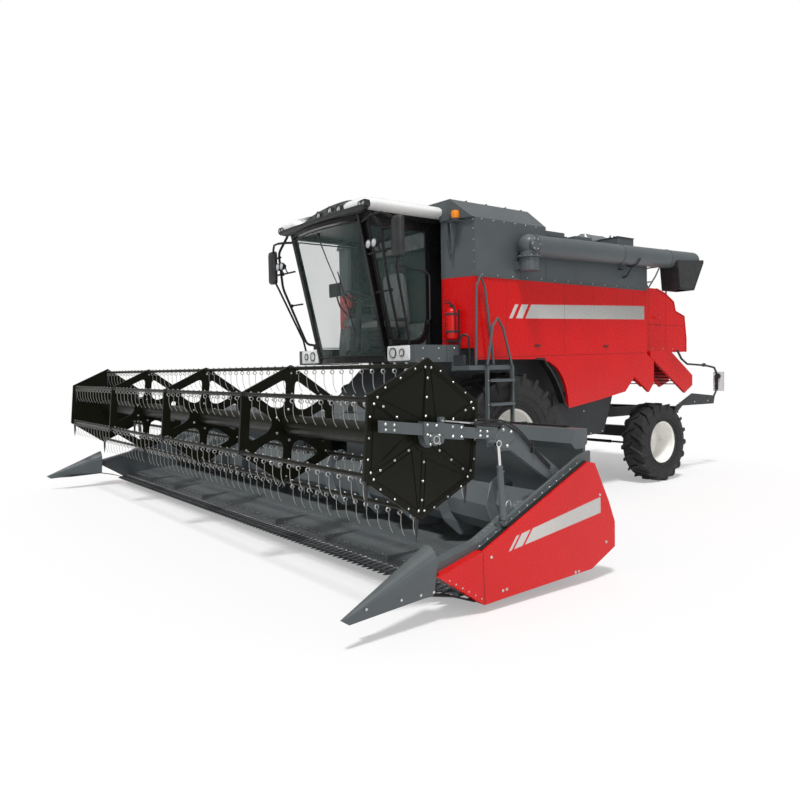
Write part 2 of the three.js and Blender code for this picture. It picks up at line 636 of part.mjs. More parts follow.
// one skin of rings set along X: shaft, core and the two flights, which wind in from each end
function tableAuger() {
  const fin = THREE.MathUtils.degToRad(7);
  const coreAngles = [-fin * 0.3];
  for (let k = coreSides - 1; k > 0; k -= 1) coreAngles.unshift(fin + k * (Math.PI * 2 - fin) / coreSides);
  const start = headerHalf - 50;
  const step = flightPitch / turnSteps;
  const wound = Math.round(turnSteps * flightTurns);
  const rings = [[endSheet[1] - 2, shaftR, shaftR], [start + 25, shaftR, shaftR], [start + 20,
    augerCoreR, augerCoreR],
    [start + 6, augerCoreR, augerCoreR]];
  for (let t = 0; t <= wound; t += 1) rings.push([start - step * t, augerCoreR, augerR]);
  rings.push([start - step * wound - 6, augerCoreR, augerCoreR]);
  const all = [...rings, ...rings.map(([x, core, tip]) => [-x, core, tip]).reverse()];
  const positions = [];
  for (const [x, core, tip] of all) {
    const turn = -THREE.MathUtils.clamp((start - Math.abs(x)) / step, 0, wound) * Math.PI * 2 / turnSteps;
    const ring = [[tip, 0], [tip, fin], [core, fin * 1.3], ...coreAngles.toReversed().map((a) => [core,
      a])];
    const ordered = ring.sort((p, q) => p[1] - q[1]);
    for (const [r, a] of ordered) positions.push(x, r * Math.cos(a + turn), r * Math.sin(a + turn));
  }
  const size = coreAngles.length + 3;
  const faces = [];
  for (let t = 0; t < all.length - 1; t += 1) {
    for (let k = 0; k < size; k += 1) {
      const a = t * size + k;
      const b = t * size + (k + 1) % size;
      if (t < rings.length) faces.push(a, b, b + size, a, b + size, a + size);
      else faces.push(a, b, a + size, b, b + size, a + size);
    }
  }
  const last = (all.length - 1) * size;
  for (let k = 1; k < size - 1; k += 1) faces.push(0, k + 1, k, last, last + k, last + k + 1);
  return facing(positions, faces).translate([0, augerAt.y, augerAt.z]);
}

// ---------- reel ----------
// points on a circle about the reel's axis, one for each tine bar
function aroundReel(radius) {
  const points = [];
  for (let k = 0; k < barCount; k += 1) {
    const turn = THREE.MathUtils.degToRad(90 - reelTurn + 360 / barCount * k);
    points.push([reelAt.y + radius * Math.cos(turn), reelAt.z + radius * Math.sin(turn)]);
  }
  return points;
}

function spider(x) {
  const across = [x - spiderThick / 2, x + spiderThick / 2];
  const wider = [across[0] - 1, across[1] + 1];
  const ring = cut(sidePlate(aroundReel(reelR + 32), across), sidePlate(aroundReel(reelR - 62), wider));
  const spokes = aroundReel(reelR).map(([y, z]) => {
    const side = [(z - reelAt.z) * 0.07, (reelAt.y - y) * 0.07];
    return sidePlate([[reelAt.y + side[0], reelAt.z + side[1]], [y + side[0], z + side[1]],
      [y - side[0], z - side[1]], [reelAt.y - side[0], reelAt.z - side[1]]], across);
  });
  const hub = rod([across[0], reelAt.y, reelAt.z], [across[1], reelAt.y, reelAt.z], 175, 12);
  return join(ring, spokes, hub);
}

function reel() {
  const core = rod([-reelHalf + 5, reelAt.y, reelAt.z], [reelHalf - 5, reelAt.y, reelAt.z], 88, 12);
  const journal = rod([-reelHalf - 38, reelAt.y, reelAt.z], [reelHalf + 38, reelAt.y, reelAt.z], 32, 16);
  const plates = bothSides(sidePlate(aroundReel(reelR + 57), [reelHalf - 25, reelHalf]));
  const bay = 2 * reelHalf / (spiderCount - 1);
  const spiders = [-1, 0, 1].map((k) => spider(bay * k));
  const holes = aroundReel(reelR).map(([y, z]) => rod([-reelHalf - 9, y, z], [reelHalf + 9, y, z],
    barR + runningGap, 12));
  return cut(join(core, journal, plates, spiders), holes);
}

function tineBar([y, z]) {
  const tube = rod([-reelHalf + 2, y, z], [reelHalf - 2, y, z], barR, 12);
  const tines = [];
  for (let x = -reelHalf + 125; x < reelHalf - 100; x += tineGap) {
    tines.push(hull([z - 5, z - tineLength].flatMap((low) => [[x, y - 6, low], [x - 5, y + 4, low],
      [x + 5, y + 4, low]])));
  }
  return join(tube, tines);
}

// centre height of the arm's straight run
function armRun(y) {
  return 1245 + armSlope * (armElbow - y);
}

function alongArm(y, half) {
  return [[y[0], armRun(y[0]) - half], [y[0], armRun(y[0]) + half], [y[1], armRun(y[1]) + half],
    [y[1], armRun(y[1]) - half]];
}

function reelArm() {
  const run = sidePlate(alongArm([armTip, armElbow + 40], armHalf), armX);
  const rise = sidePlate([[armElbow - 130, 1235], [armElbow - 20, 1310], [armElbow + 60, 1290],
    [armPivot.y + 40, armPivot.z + 55], [armPivot.y + 62, armPivot.z - 15], [armPivot.y - 10,
    armPivot.z - 60],
    [armElbow + 40, 1130], [armElbow - 70, 1130]], armX);
  const { y, z } = reelLiftEye;
  const lug = sidePlate([[y - 32, z + 50], [y + 60, z + 50], [y + 28, z - 28], [y - 28, z - 28]], armX);
  const pin = rod([armX[0] + 10, y, z], [reelLiftX + 18, y, z], reelPinR, 16);
  const collar = rod([armX[0] + 10, y, z], [reelLiftX - reelRam.rodR - 2 * fit, y, z], reelPinR + 11, 16);
  return cut(join(run, rise, lug, pin, collar), pinHole(armPivot, [armX[0] - 50, endSheet[0] - 1], 24));
}

function reelSleeve() {
  const outer = sidePlate(alongArm(sleeveY, armHalf + 14), [armX[0] - 13, armX[1] + 13]);
  const inner = sidePlate(alongArm([sleeveY[0] - 10, sleeveY[1] + 10], armHalf + 1), [armX[0] - 1,
    armX[1] + 1]);
  const cheekX = [reelHalf + 12, armX[0] - 12];
  const housing = rod([cheekX[0], reelAt.y, reelAt.z], [cheekX[1], reelAt.y, reelAt.z], 60, 16);
  const cheek = sidePlate([[reelAt.y - 60, reelAt.z], [reelAt.y - 90, armRun(reelAt.y) + 30],
    [reelAt.y + 90, armRun(reelAt.y) + 30], [reelAt.y + 60, reelAt.z]], cheekX);
  return cut(join(outer, housing, cheek), inner, pinHole(reelAt, [cheekX[0] - 20, armX[0] - 1], 32));
}

// ---------- cab ----------
// middle of the front pillar at a height
function pillarAt(z) {
  const share = (z - cab.floorZ) / (cab.topZ - cab.floorZ);
  return {
    x: cab.half + share * (cab.halfTop - cab.half),
    y: cab.frontY + share * (cab.frontTopY - cab.frontY),
  };
}

function bowedFront(z, half, steps = 6) {
  const front = pillarAt(z).y;
  const points = [];
  for (let k = 0; k <= steps; k += 1) {
    const across = -1 + 2 * k / steps;
    points.push([across * half, front - 20 - cab.bulge * (1 - across * across)]);
  }
  return points;
}

function cabFrame() {
  const floor = planPlate([...bowedFront(cab.floorZ, 800), [800, cab.rearY], [-800, cab.rearY]],
    [cab.floorZ, cab.floorTop]);
  const low = pillarAt(cab.floorZ);
  const high = pillarAt(cab.topZ);
  const pillar = hull([[low, cab.floorZ], [high, cab.topZ]].flatMap(([at, z]) => [
    [at.x - 24, at.y - 35, z], [at.x + 24, at.y - 35, z], [at.x + 24, at.y + 35, z], [at.x - 24,
    at.y + 35, z]]));
  const post = block([745, sideX], [postY, cab.rearY], [cab.floorZ, cab.topZ]);
  const sillFront = pillarAt(1950).y;
  const sill = block([740, sideX], [sillFront, postY + 5], [cab.floorZ, cab.sillZ]);
  const header = hull([[746, high.y, 3500], [814, high.y, 3500], [746, high.y, cab.topZ], [814, high.y,
    cab.topZ],
    [746, postY + 5, 3500], [814, postY + 5, 3500], [746, postY + 5, cab.topZ], [814, postY + 5,
    cab.topZ]]);
  const brow = planPlate([...bowedFront(cab.topZ, high.x), [high.x, high.y + 30], [-high.x, high.y + 30]],
    [3515, cab.topZ]);
  const rearLow = block([-746, 746], [125, cab.rearY], [cab.floorZ, 2350]);
  const rearHigh = block([-746, 746], [125, cab.rearY], [3300, cab.topZ]);
  const hinges = hingeZ.map((z) => join(
    rod([doorHinge.x, doorHinge.y, z - 18], [doorHinge.x, doorHinge.y, z + hingeTall + 18], hingePinR, 16),
    ...[z - 18, z + hingeTall + 5].map((low) => block([sideX - 4, 856], [doorHinge.y - 6, postY + 5],
      [low, low + 13]))));
  return join(floor, brow, rearLow, rearHigh, hinges, [pillar, post, sill, header,
    mirror()].flatMap(bothSides));
}

function mirror() {
  const board = hull([[1385, 3020], [1385, 3400], [1430, 3440], [1530, 3440], [1560, 3400], [1560, 3020],
    [1530, 2985],
    [1420, 2985]].flatMap(([x, z]) => [[x, -1012, z], [x, -975, z]]));
  const stay = bentTube([[1200, -650, 2029 + fit], [1200, -650, 2110], [1380, -960, 2900], [1470, -990,
    3050]], 16, 50);
  const top = bentTube([[790, -1020, 3470], [1100, -1090, 3500], [1300, -1075, 3500], [1470, -990,
    3380]], 16, 60);
  return join(board, stay, top);
}

function windscreen() {
  const low = cab.floorTop + 5;
  const high = 3496;
  return pane((u, v) => {
    const z = low + (high - low) * v;
    const { x, y } = pillarAt(z);
    const across = -1 + 2 * u;
    return [across * (x - 24.5), y - 20 - cab.bulge * (1 - across * across), z];
  }, [0, 9, 0], 10, 3);
}

// outline of a side opening, drawn in by a margin
function sideOpening(margin) {
  const low = cab.sillZ + 12 + margin;
  const high = 3490 - margin;
  const front = (z) => pillarAt(z).y + 10 + margin * 1.03;
  const rear = doorHinge.y - 15 - margin;
  const shape = new THREE.Shape();
  shape.moveTo(front(low), low);
  shape.lineTo(front(high), high);
  shape.lineTo(rear, high);
  shape.lineTo(rear, low + 330);
  shape.quadraticCurveTo(rear, low, rear - 200, low);
  shape.lineTo(front(low), low);
  return shape;
}

function cabDoor() {
  const frame = cut(sidePlate(sideOpening(0), doorX), sidePlate(sideOpening(48), [doorX[0] - 5,
    doorX[1] + 5]));
  const knuckles = hingeZ.map((z) => join(
    block([doorHinge.x - 8, doorX[1]], [doorHinge.y - 35, doorHinge.y], [z, z + hingeTall]),
    rod([doorHinge.x, doorHinge.y, z], [doorHinge.x, doorHinge.y, z + hingeTall], 11, 16)));
  const bores = hingeZ.map((z) => rod([doorHinge.x, doorHinge.y, z - 5], [doorHinge.x, doorHinge.y,
    z + hingeTall + 5],
    hingePinR + runningGap, 16));
  return cut(join(frame, knuckles), bores);
}

function doorGlass() {
  return sidePlate(sideOpening(48 + fit), [doorX[0] + 6, doorX[0] + 14]);
}

function rightWindow() {
  const { y } = pillarAt(2080);
  const top = pillarAt(3490).y;
  return sidePlate([[y + 45, 2045], [top + 45, 3495], [postY - fit, 3495], [postY - fit, 2045]], [-812,
    -804]);
}

function rearWindow() {
  return block([-740, 740], [140, 148], [2350 + fit, 3300 - fit]);
}

function roof() {
  const ring = (x, front, rear, z) => [[x, front, z], [-x, front, z], [x, rear, z], [-x, rear, z]];
  const cap = hull([...ring(940, -1075, 180, cab.topZ + fit), ...ring(roofHalf, -1120, 190, 3625),
    ...ring(roofHalf - 15, -1150, 185, 3675), ...ring(800, -1110, -260, 3770), ...ring(420, -1000, -500,
      3870)]);
  const brow = hull([...ring(430, -1200, -1150, 3600), ...ring(330, -960, -940, 3860)]);
  return cut(cap, brow);
}

function seat() {
  const base = block([-170, 170], [-280, 60], [cab.floorTop + fit, 2310]);
  const cushion = hull([[250, -380, 2290], [235, -390, 2380], [250, 70, 2260], [250, 70, 2370]].flatMap(
    ([x, y, z]) => [[x, y, z], [-x, y, z]]));
  const back = hull([[240, 0, 2300], [240, 110, 2300], [215, 50, 3020], [215, 118, 3020]].flatMap(
    ([x, y, z]) => [[x, y, z], [-x, y, z]]));
  const armrest = block([-400, -249], [-480, 20], [2440, 2520]);
  const strut = block([-300, -240], [-200, 0], [2300, 2450]);
  return join(base, cushion, back, armrest, strut);
}

function steering() {
  const column = hull([[-70, -640, cab.floorTop + fit], [70, -640, cab.floorTop + fit], [-70, -500,
    cab.floorTop + fit],
    [70, -500, cab.floorTop + fit], [-40, -560, 2600], [40, -560, 2600], [-40, -510, 2620], [40, -510,
    2620]]);
  const ring = new THREE.TorusGeometry(195, 16, 5, 14);
  ring.rotateX(0.45);
  ring.translate(0, -520, 2680);
  const spokes = [-1, 1].map((side) => rod([0, -535, 2600], [side * 190, -520, 2680], 13, 6));
  const stem = rod([0, -540, 2560], [0, -520, 2680], 26, 10);
  const spoke = rod([0, -540, 2660], [0, -444, 2505 + 90], 10, 6);
  return join(column, solid(ring), spokes, stem, spoke);
}

// ---------- platforms, ladder and rails ----------
function platformRight() {
  const z = [1829, 2029];
  const deck = block([-1338, -sideX - fit], [-679, 10], z);
  const pocket = block([-1250, -900], [-640, -30], [1800, 1990]);
  return cut(deck, pocket);
}

function platformLeft() {
  const box = mirrored(platformRight());
  const riser = block([1305, 1345], [-100, 10], [1720, 1900]);
  const landing = block([1340, 1612], [-100, 615], [1725, 1780]);
  const rails = [[165, 195], [585, 615]].map((y) => block([1605, 1650], y, [420, 1780]));
  const treads = [];
  for (let z = 440; z < 1600; z += 285) treads.push(block([1606, 1690], [190, 590], [z, z + 34]));
  const loop = bentTube([[1565, 60, 1770], [1565, 90, 2850], [1565, 200, 2840], [1565, 330, 1970], [1565,
    350, 1770]],
    16, 50);
  const grab = bentTube([[1632, 180, 1770], [1632, 300, 2370], [1632, 420, 2320], [1632, 600, 1760]], 16,
    45);
  return join(box, riser, landing, rails, treads, loop, grab);
}

// ---------- unloading auger ----------
function tubeLine(y) {
  return tubeZ + (tubeEnd.z - tubeZ) * (y - swingAt.y) / (tubeEnd.y - swingAt.y);
}

function augerTube() {
  const { x, y } = swingAt;
  const neck = rod([x, y, 3095 + fit], [x, y, tubeZ], 118, 16);
  const elbow = new THREE.SphereGeometry(140, 16, 8);
  elbow.translate(x, y, tubeZ);
  const tube = rod([x, y, tubeZ], [x, tubeEnd.y, tubeEnd.z], tubeR, 20);
  return join(neck, solid(elbow), tube);
}

function augerSpout() {
  const { x } = swingAt;
  const outer = sidePlate([[3900, 3185], [3900, 3270], [4590, 3330], [4590, 3290], [4330, 2860], [3950,
    2860]],
    [x - 148, x + 148]);
  const inner = sidePlate([[3925, 3190], [4560, 3290], [4310, 2850], [3975, 2850]], [x - 130, x + 130]);
  const tube = rod([x, swingAt.y, tubeZ], [x, tubeEnd.y + 5, tubeLine(tubeEnd.y + 5)], tubeR + fit, 20);
  return cut(outer, inner, tube);
}

add('chassis_frame', chassisFrame(), 'grey');
add('threshing_body', threshingBody(), 'grey');
add('engine', block([-480, 480], [1900, 2980], [2700 + fit, 3330]), 'dark');
add('grain_tank', grainTank(), 'grey');
add('engine_bay', join(engineBay(), engineScreen()), 'grey');
add('silencer', silencer(), 'steel');
addPair('side_panel', sidePanel(), 'red');
add('straw_hood', strawHood(), 'red');
add('deflector', deflector(), 'red');
add('tail_bar', tailBar(), 'grey');
add('front_axle', frontAxleBeam(), 'dark');
add('rear_axle', rearAxleBeam(), 'dark');
addPair('knuckle', knuckle(), 'dark');
add('tie_rod', tieRod(), 'dark');
addPair('front_tyre', tyre(frontAxle, 28), 'tyre');
addPair('front_rim', rim(frontAxle, 1060, 130, 28), 'cream');
addPair('rear_tyre', tyre(rearAxle, 24), 'tyre');
addPair('rear_rim', rim(rearAxle, 1240, 80, 24), 'cream');
add('cab_frame', cabFrame(), 'black');
add('windscreen', windscreen(), 'glass');
add('window_right', rightWindow(), 'glass');
add('window_rear', rearWindow(), 'glass');
add('cab_door', cabDoor(), 'black');
add('door_glass', doorGlass(), 'glass');
add('roof', roof(), 'white');
add('seat', seat(), 'seat');
add('steering_column', steering(), 'black');
add('platform_left', platformLeft(), 'grey');
add('platform_right', platformRight(), 'grey');
add('auger_tube', augerTube(), 'grey');
add('auger_spout', augerSpout(), 'black');
add('lift_barrels', liftBarrels(), 'dark');
add('lift_rods', liftRods(), 'steel');
add('feeder_house', feederHouse(), 'grey');
add('header_frame', headerFrame(), 'grey');
addPair('end_panel', redEndPanel(), 'red');
add('table_auger', tableAuger(), 'grey');
addPair('reel_arm', reelArm(), 'grey');
addPair('reel_sleeve', reelSleeve(), 'grey');
addPair('reel_lift_barrel', reelLiftBarrel(), 'dark');
addPair('reel_lift_rod', reelLiftRod(), 'steel');
add('reel', reel(), 'olive');
aroundReel(reelR).forEach((place, k) => add(`tine_bar_${k + 1}`, tineBar(place), 'dark'));

export default machine;
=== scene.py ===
import math

import bmesh
import bpy
import numpy as np
from mathutils import Matrix, Vector
from mathutils.geometry import tessellate_polygon


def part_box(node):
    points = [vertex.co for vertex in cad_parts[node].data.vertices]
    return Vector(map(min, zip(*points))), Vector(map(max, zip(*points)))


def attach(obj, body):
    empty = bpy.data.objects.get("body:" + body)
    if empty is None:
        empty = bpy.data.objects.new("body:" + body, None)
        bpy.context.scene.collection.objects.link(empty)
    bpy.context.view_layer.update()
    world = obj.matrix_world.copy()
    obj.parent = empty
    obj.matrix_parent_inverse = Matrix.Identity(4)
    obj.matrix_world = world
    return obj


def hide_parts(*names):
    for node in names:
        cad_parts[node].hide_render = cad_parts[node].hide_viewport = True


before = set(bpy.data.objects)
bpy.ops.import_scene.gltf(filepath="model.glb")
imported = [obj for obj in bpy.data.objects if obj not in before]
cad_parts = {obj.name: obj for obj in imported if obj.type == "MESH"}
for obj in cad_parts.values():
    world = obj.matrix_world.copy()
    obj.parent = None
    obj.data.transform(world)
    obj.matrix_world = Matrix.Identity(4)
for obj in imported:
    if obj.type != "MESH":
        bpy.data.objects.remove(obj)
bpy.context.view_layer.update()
print("frame loaded")

# drawing millimetres: X and Z as in the frame, Y counted from the front of the grain tank
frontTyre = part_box("front_tyre_left")
shiftY = (frontTyre[0].y + frontTyre[1].y) / 2 - 0.72


def pt(x, y, z):
    return Vector((x / 1000, y / 1000 + shiftY, z / 1000))


# camera
cameraSet = {
    "place": (7915.0, -5882.4, 1755.2),
    "yaw": 52.8823,
    "down": 2.4454,
    "roll": 0.9687,
    "lens": 32.847,
}


def makeCamera(s):
    yaw, down, roll = (math.radians(s[k]) for k in ("yaw", "down", "roll"))
    ahead = Vector((-math.sin(yaw) * math.cos(down), math.cos(yaw) * math.cos(down), -math.sin(down)))
    right = Vector((math.cos(yaw), math.sin(yaw), 0))
    up = right.cross(ahead)
    rightRolled = right * math.cos(roll) - up * math.sin(roll)
    upRolled = right * math.sin(roll) + up * math.cos(roll)
    turn = Matrix((rightRolled, upRolled, -ahead)).transposed().to_4x4()
    data = bpy.data.cameras.new("camera")
    data.lens = s["lens"]
    data.sensor_width = 36
    data.clip_end = 200
    camera = bpy.data.objects.new("camera", data)
    camera.matrix_world = Matrix.Translation(pt(*s["place"])) @ turn
    bpy.context.scene.collection.objects.link(camera)
    bpy.context.scene.camera = camera


makeCamera(cameraSet)


# shader helpers
class Sock:
    # an output socket, so that shader maths reads as a plain expression
    def __init__(self, graph, output):
        self.graph = graph
        self.output = output

    def maths(self, operation, first, second):
        return self.graph.node("Math", {"operation": operation}, {0: first, 1: second})

    def __add__(self, other):
        return self.maths("ADD", self, other)

    def __radd__(self, other):
        return self.maths("ADD", other, self)

    def __sub__(self, other):
        return self.maths("SUBTRACT", self, other)

    def __rsub__(self, other):
        return self.maths("SUBTRACT", other, self)

    def __mul__(self, other):
        return self.maths("MULTIPLY", self, other)

    def __rmul__(self, other):
        return self.maths("MULTIPLY", other, self)

    def __gt__(self, other):
        return self.maths("GREATER_THAN", self, other)

    def __lt__(self, other):
        return self.maths("LESS_THAN", self, other)


class Graph:
    # the nodes of one material or of the world
    def __init__(self, tree):
        self.tree = tree

    def feed(self, socket, value):
        if isinstance(value, Sock):
            self.tree.links.new(value.output, socket)
        elif socket.type == "RGBA" and len(value) == 3:
            socket.default_value = (*value, 1)
        else:
            socket.default_value = value

    def node(self, kind, settings=None, sockets=None, output=0):
        made = self.tree.nodes.new("ShaderNode" + kind)
        for key, value in (settings or {}).items():
            setattr(made, key, value)
        for key, value in (sockets or {}).items():
            self.feed(made.inputs[key], value)
        return Sock(self, made.outputs[output])


class Finish(Graph):
    # one material with its principled shader
    def __init__(self, name, values=None):
        self.material = bpy.data.materials.new(name)
        self.material.use_nodes = True
        super().__init__(self.material.node_tree)
        self.shader = self.tree.nodes["Principled BSDF"]
        self.set(values or {})

    def set(self, values):
        for key, value in values.items():
            self.feed(self.shader.inputs[key], value)
        return self.material

    def place(self):
        return self.node("TexCoord", output="Object")

    def axes(self, vector=None):
        vector = vector or self.place()
        return [self.node("SeparateXYZ", {}, {0: vector}, k) for k in range(3)]

    def cloud(self, scale, detail=3.0, rough=0.5, vector=None):
        sockets = {"Vector": vector or self.place(), "Scale": scale, "Detail": detail, "Roughness": rough}
        return self.node("TexNoise", {}, sockets)

    def remap(self, value, low, high, toLow, toHigh):
        return self.node("MapRange", {"clamp": True}, {0: value, 1: low, 2: high, 3: toLow, 4: toHigh})

    def blend(self, share, first, second):
        return self.node("Mix", {"data_type": "RGBA"}, {0: share, 6: first, 7: second}, 2)

    def bump(self, height, strength, distance):
        return self.node("Bump", {}, {"Strength": strength, "Distance": distance, "Height": height})


def tone(colour, share):
    return tuple(min(1, c * share) for c in colour)


# finishes
paintSet = {
    "red": {"colour": (0.60, 0.004, 0.005), "rough": 0.26, "coat": 0.06, "shine": 0.3, "mottle": 0.05,
            "dust": 0.04},
    "grey": {"colour": (0.088, 0.102, 0.108), "rough": 0.42, "coat": 0.05, "shine": 0.3, "mottle": 0.09,
             "dust": 0.1},
    "darkGrey": {"colour": (0.036, 0.039, 0.042), "rough": 0.46, "coat": 0.04, "shine": 0.25,
                 "mottle": 0.12, "dust": 0.08},
    "black": {"colour": (0.007, 0.007, 0.008), "rough": 0.3, "coat": 0.08, "shine": 0.25, "mottle": 0.1,
              "dust": 0.03},
    "reelBlack": {"colour": (0.006, 0.006, 0.003), "rough": 0.34, "coat": 0.0, "shine": 0.16,
                  "mottle": 0.12, "dust": 0.02},
    "white": {"colour": (0.82, 0.83, 0.82), "rough": 0.3, "coat": 0.15, "shine": 0.4, "mottle": 0.03,
              "dust": 0.03},
    "cream": {"colour": (0.82, 0.81, 0.77), "rough": 0.36, "coat": 0.1, "shine": 0.4, "mottle": 0.05,
              "dust": 0.06},
}


def painted(name, s, colour=None):
    finish = Finish(name,
                    {"Coat Weight": s["coat"], "Coat Roughness": 0.1, "Specular IOR Level": s["shine"]})
    base = colour(finish) if colour else s["colour"]
    patches = finish.remap(finish.cloud(1.7, 4.0), 0.3, 0.7, 1 - s["mottle"], 1 + s["mottle"])
    tinted = finish.node("VectorMath", {"operation": "SCALE"}, {0: base, "Scale": patches})
    upward = finish.axes(finish.node("NewGeometry", output="Normal"))[2]
    speckle = finish.remap(finish.cloud(9.0, 5.0), 0.35, 0.7, 0.2, 1.0)
    settled = finish.remap(upward, 0.3, 1.0, 0.0, s["dust"]) * speckle
    smear = finish.remap(finish.cloud(26.0, 4.0), 0.3, 0.75, s["rough"] * 0.82, s["rough"] * 1.25)
    return finish.set({
        "Base Color": finish.blend(settled, tinted, (0.36, 0.33, 0.28)),
        "Roughness": smear + settled * 0.5,
        "Normal": finish.bump(finish.cloud(420.0, 2.0), 0.06, 0.0006),
    })


finishes = {name: painted(name + "Paint", s) for name, s in paintSet.items()}

# bands in metres along Y and up Z: their front and rear ends, lower edge and height at both ends
stripeSet = {
    "side": {"ends": (980, 3504), "low": (2365, 2420), "tall": (175, 196), "slant": 0.62,
             "dashes": ((690, 750), (810, 930)), "shade": 0.55},
    "end": {"ends": (-1905, -1010), "low": (430, 552), "tall": (95, 130), "slant": 0.9,
            "dashes": ((-2075, -2045), (-2020, -1930)), "shade": 0.2},
}


def striped(name, s):
    # a silver band with two slanted dashes ahead of it, on the red paint
    def colour(finish):
        _, y, z = finish.axes()
        front, rear = (v / 1000 + shiftY for v in s["ends"])
        low, lowRear = (v / 1000 for v in s["low"])
        tall, tallRear = (v / 1000 for v in s["tall"])
        along = (y - front) * (1 / (rear - front))
        bottom = along * (lowRear - low) + low
        top = bottom + (along * (tallRear - tall) + tall)
        band = (z > bottom) * (z < top)
        leaning = y - (z - bottom) * s["slant"]
        inside = (leaning > front) * (y < rear)
        for start, stop in s["dashes"]:
            inside = inside + (leaning > start / 1000 + shiftY) * (leaning < stop / 1000 + shiftY)
        silver = finish.blend(finish.remap(along, 0.0, 1.0, 0.0, s["shade"]), (0.55, 0.54, 0.52),
                              (0.2, 0.2, 0.19))
        return finish.blend(band * inside, paintSet["red"]["colour"], silver)

    return painted(name, paintSet["red"], colour)


for part, s in stripeSet.items():
    finishes[part + "Striped"] = striped(part + "StripedPaint", s)


def metalFinish(name, colour, rough, streak=(30.0, 30.0, 30.0), metallic=1.0):
    finish = Finish(name, {"Metallic": metallic})
    drawn = finish.node("Mapping", {}, {"Vector": finish.place(), "Scale": streak})
    lines = finish.cloud(4.0, 4.0, 0.6, drawn)
    return finish.set({
        "Base Color": finish.blend(finish.remap(lines, 0.3, 0.7, 0.0, 1.0), tone(colour, 0.8),
                                   tone(colour, 1.12)),
        "Roughness": finish.remap(lines, 0.3, 0.7, rough * 0.75, rough * 1.3),
        "Normal": finish.bump(lines, 0.08, 0.0008),
    })


finishes["chrome"] = metalFinish("chromeRod", (0.72, 0.72, 0.72), 0.08)
finishes["zinc"] = metalFinish("zincPlate", (0.62, 0.62, 0.6), 0.34)
finishes["wire"] = metalFinish("springWire", (0.5, 0.5, 0.48), 0.36, metallic=0.85)
finishes["exhaust"] = metalFinish("exhaustSteel", (0.55, 0.56, 0.58), 0.3, (2.0, 30.0, 2.0))
finishes["polished"] = metalFinish("wornSteel", (0.3, 0.31, 0.32), 0.3, (2.0, 25.0, 25.0), 0.8)
finishes["brassy"] = metalFinish("goldPlate", (0.5, 0.36, 0.14), 0.28)


def rubberFinish(name, colour, rough, grain, height):
    finish = Finish(name)
    mottled = finish.remap(finish.cloud(12.0, 5.0), 0.3, 0.7, 0.0, 1.0)
    return finish.set({
        "Base Color": finish.blend(mottled, tone(colour, 0.75), tone(colour, 1.4)),
        "Roughness": finish.remap(finish.cloud(30.0, 3.0), 0.3, 0.7, rough * 0.88, min(1, rough * 1.1)),
        "Normal": finish.bump(finish.cloud(grain, 3.0), 0.25, height),
    })


finishes["tyre"] = rubberFinish("tyreRubber", (0.014, 0.014, 0.0145), 0.72, 160.0, 0.0012)
finishes["rubber"] = rubberFinish("moulding", (0.010, 0.010, 0.0105), 0.55, 260.0, 0.0006)
finishes["plastic"] = rubberFinish("grainedPlastic", (0.020, 0.021, 0.022), 0.45, 700.0, 0.0004)
finishes["interior"] = rubberFinish("cabTrim", (0.24, 0.25, 0.255), 0.6, 600.0, 0.0005)
finishes["dark"] = rubberFinish("shadowGap", (0.004, 0.004, 0.004), 0.8, 60.0, 0.0008)


def glassFinish(name, colour, alpha, rough=0.05):
    finish = Finish(name, {"IOR": 1.5})
    return finish.set({
        "Base Color": colour,
        "Roughness": finish.remap(finish.cloud(1.3, 3.0), 0.35, 0.7, rough * 0.6, rough * 1.6),
        "Alpha": finish.remap(finish.cloud(0.9, 2.0), 0.3, 0.7, alpha * 0.93, alpha * 1.07),
    })


finishes["glass"] = glassFinish("tintedGlass", (0.10, 0.17, 0.155), 0.13)
finishes["lens"] = glassFinish("clearLens", (0.8, 0.84, 0.86), 0.4)
finishes["amber"] = glassFinish("amberLens", (0.85, 0.25, 0.01), 0.95, 0.12)
finishes["redLens"] = glassFinish("redLens", (0.55, 0.01, 0.01), 0.95, 0.12)


def reflectorFinish():
    finish = Finish("lampReflector", {"Metallic": 1.0})
    cells = finish.node("TexVoronoi", {}, {"Vector": finish.place(), "Scale": 90.0}, "Distance")
    return finish.set({
        "Base Color": finish.blend(cells, (0.85, 0.85, 0.86), (0.5, 0.5, 0.52)),
        "Roughness": finish.remap(cells, 0.0, 0.6, 0.06, 0.2),
        "Normal": finish.bump(cells, 0.5, 0.002),
    })


finishes["reflector"] = reflectorFinish()


def clothFinish(name, colour):
    finish = Finish(name, {"Sheen Weight": 0.25})
    x, y, z = finish.axes()
    weft = finish.node("Math", {"operation": "SINE"}, {0: (x + z) * 1900.0})
    warp = finish.node("Math", {"operation": "SINE"}, {0: (y + z) * 1900.0})
    wave = weft * warp
    return finish.set({
        "Base Color": finish.blend(finish.remap(wave, -1.0, 1.0, 0.0, 1.0), tone(colour, 0.7),
                                   tone(colour, 1.25)),
        "Roughness": finish.remap(finish.cloud(14.0), 0.3, 0.7, 0.8, 0.95),
        "Normal": finish.bump(wave, 0.3, 0.0006),
    })


finishes["cloth"] = clothFinish("seatCloth", (0.30, 0.31, 0.315))
finishes["trimCloth"] = clothFinish("sideCloth", (0.09, 0.092, 0.095))


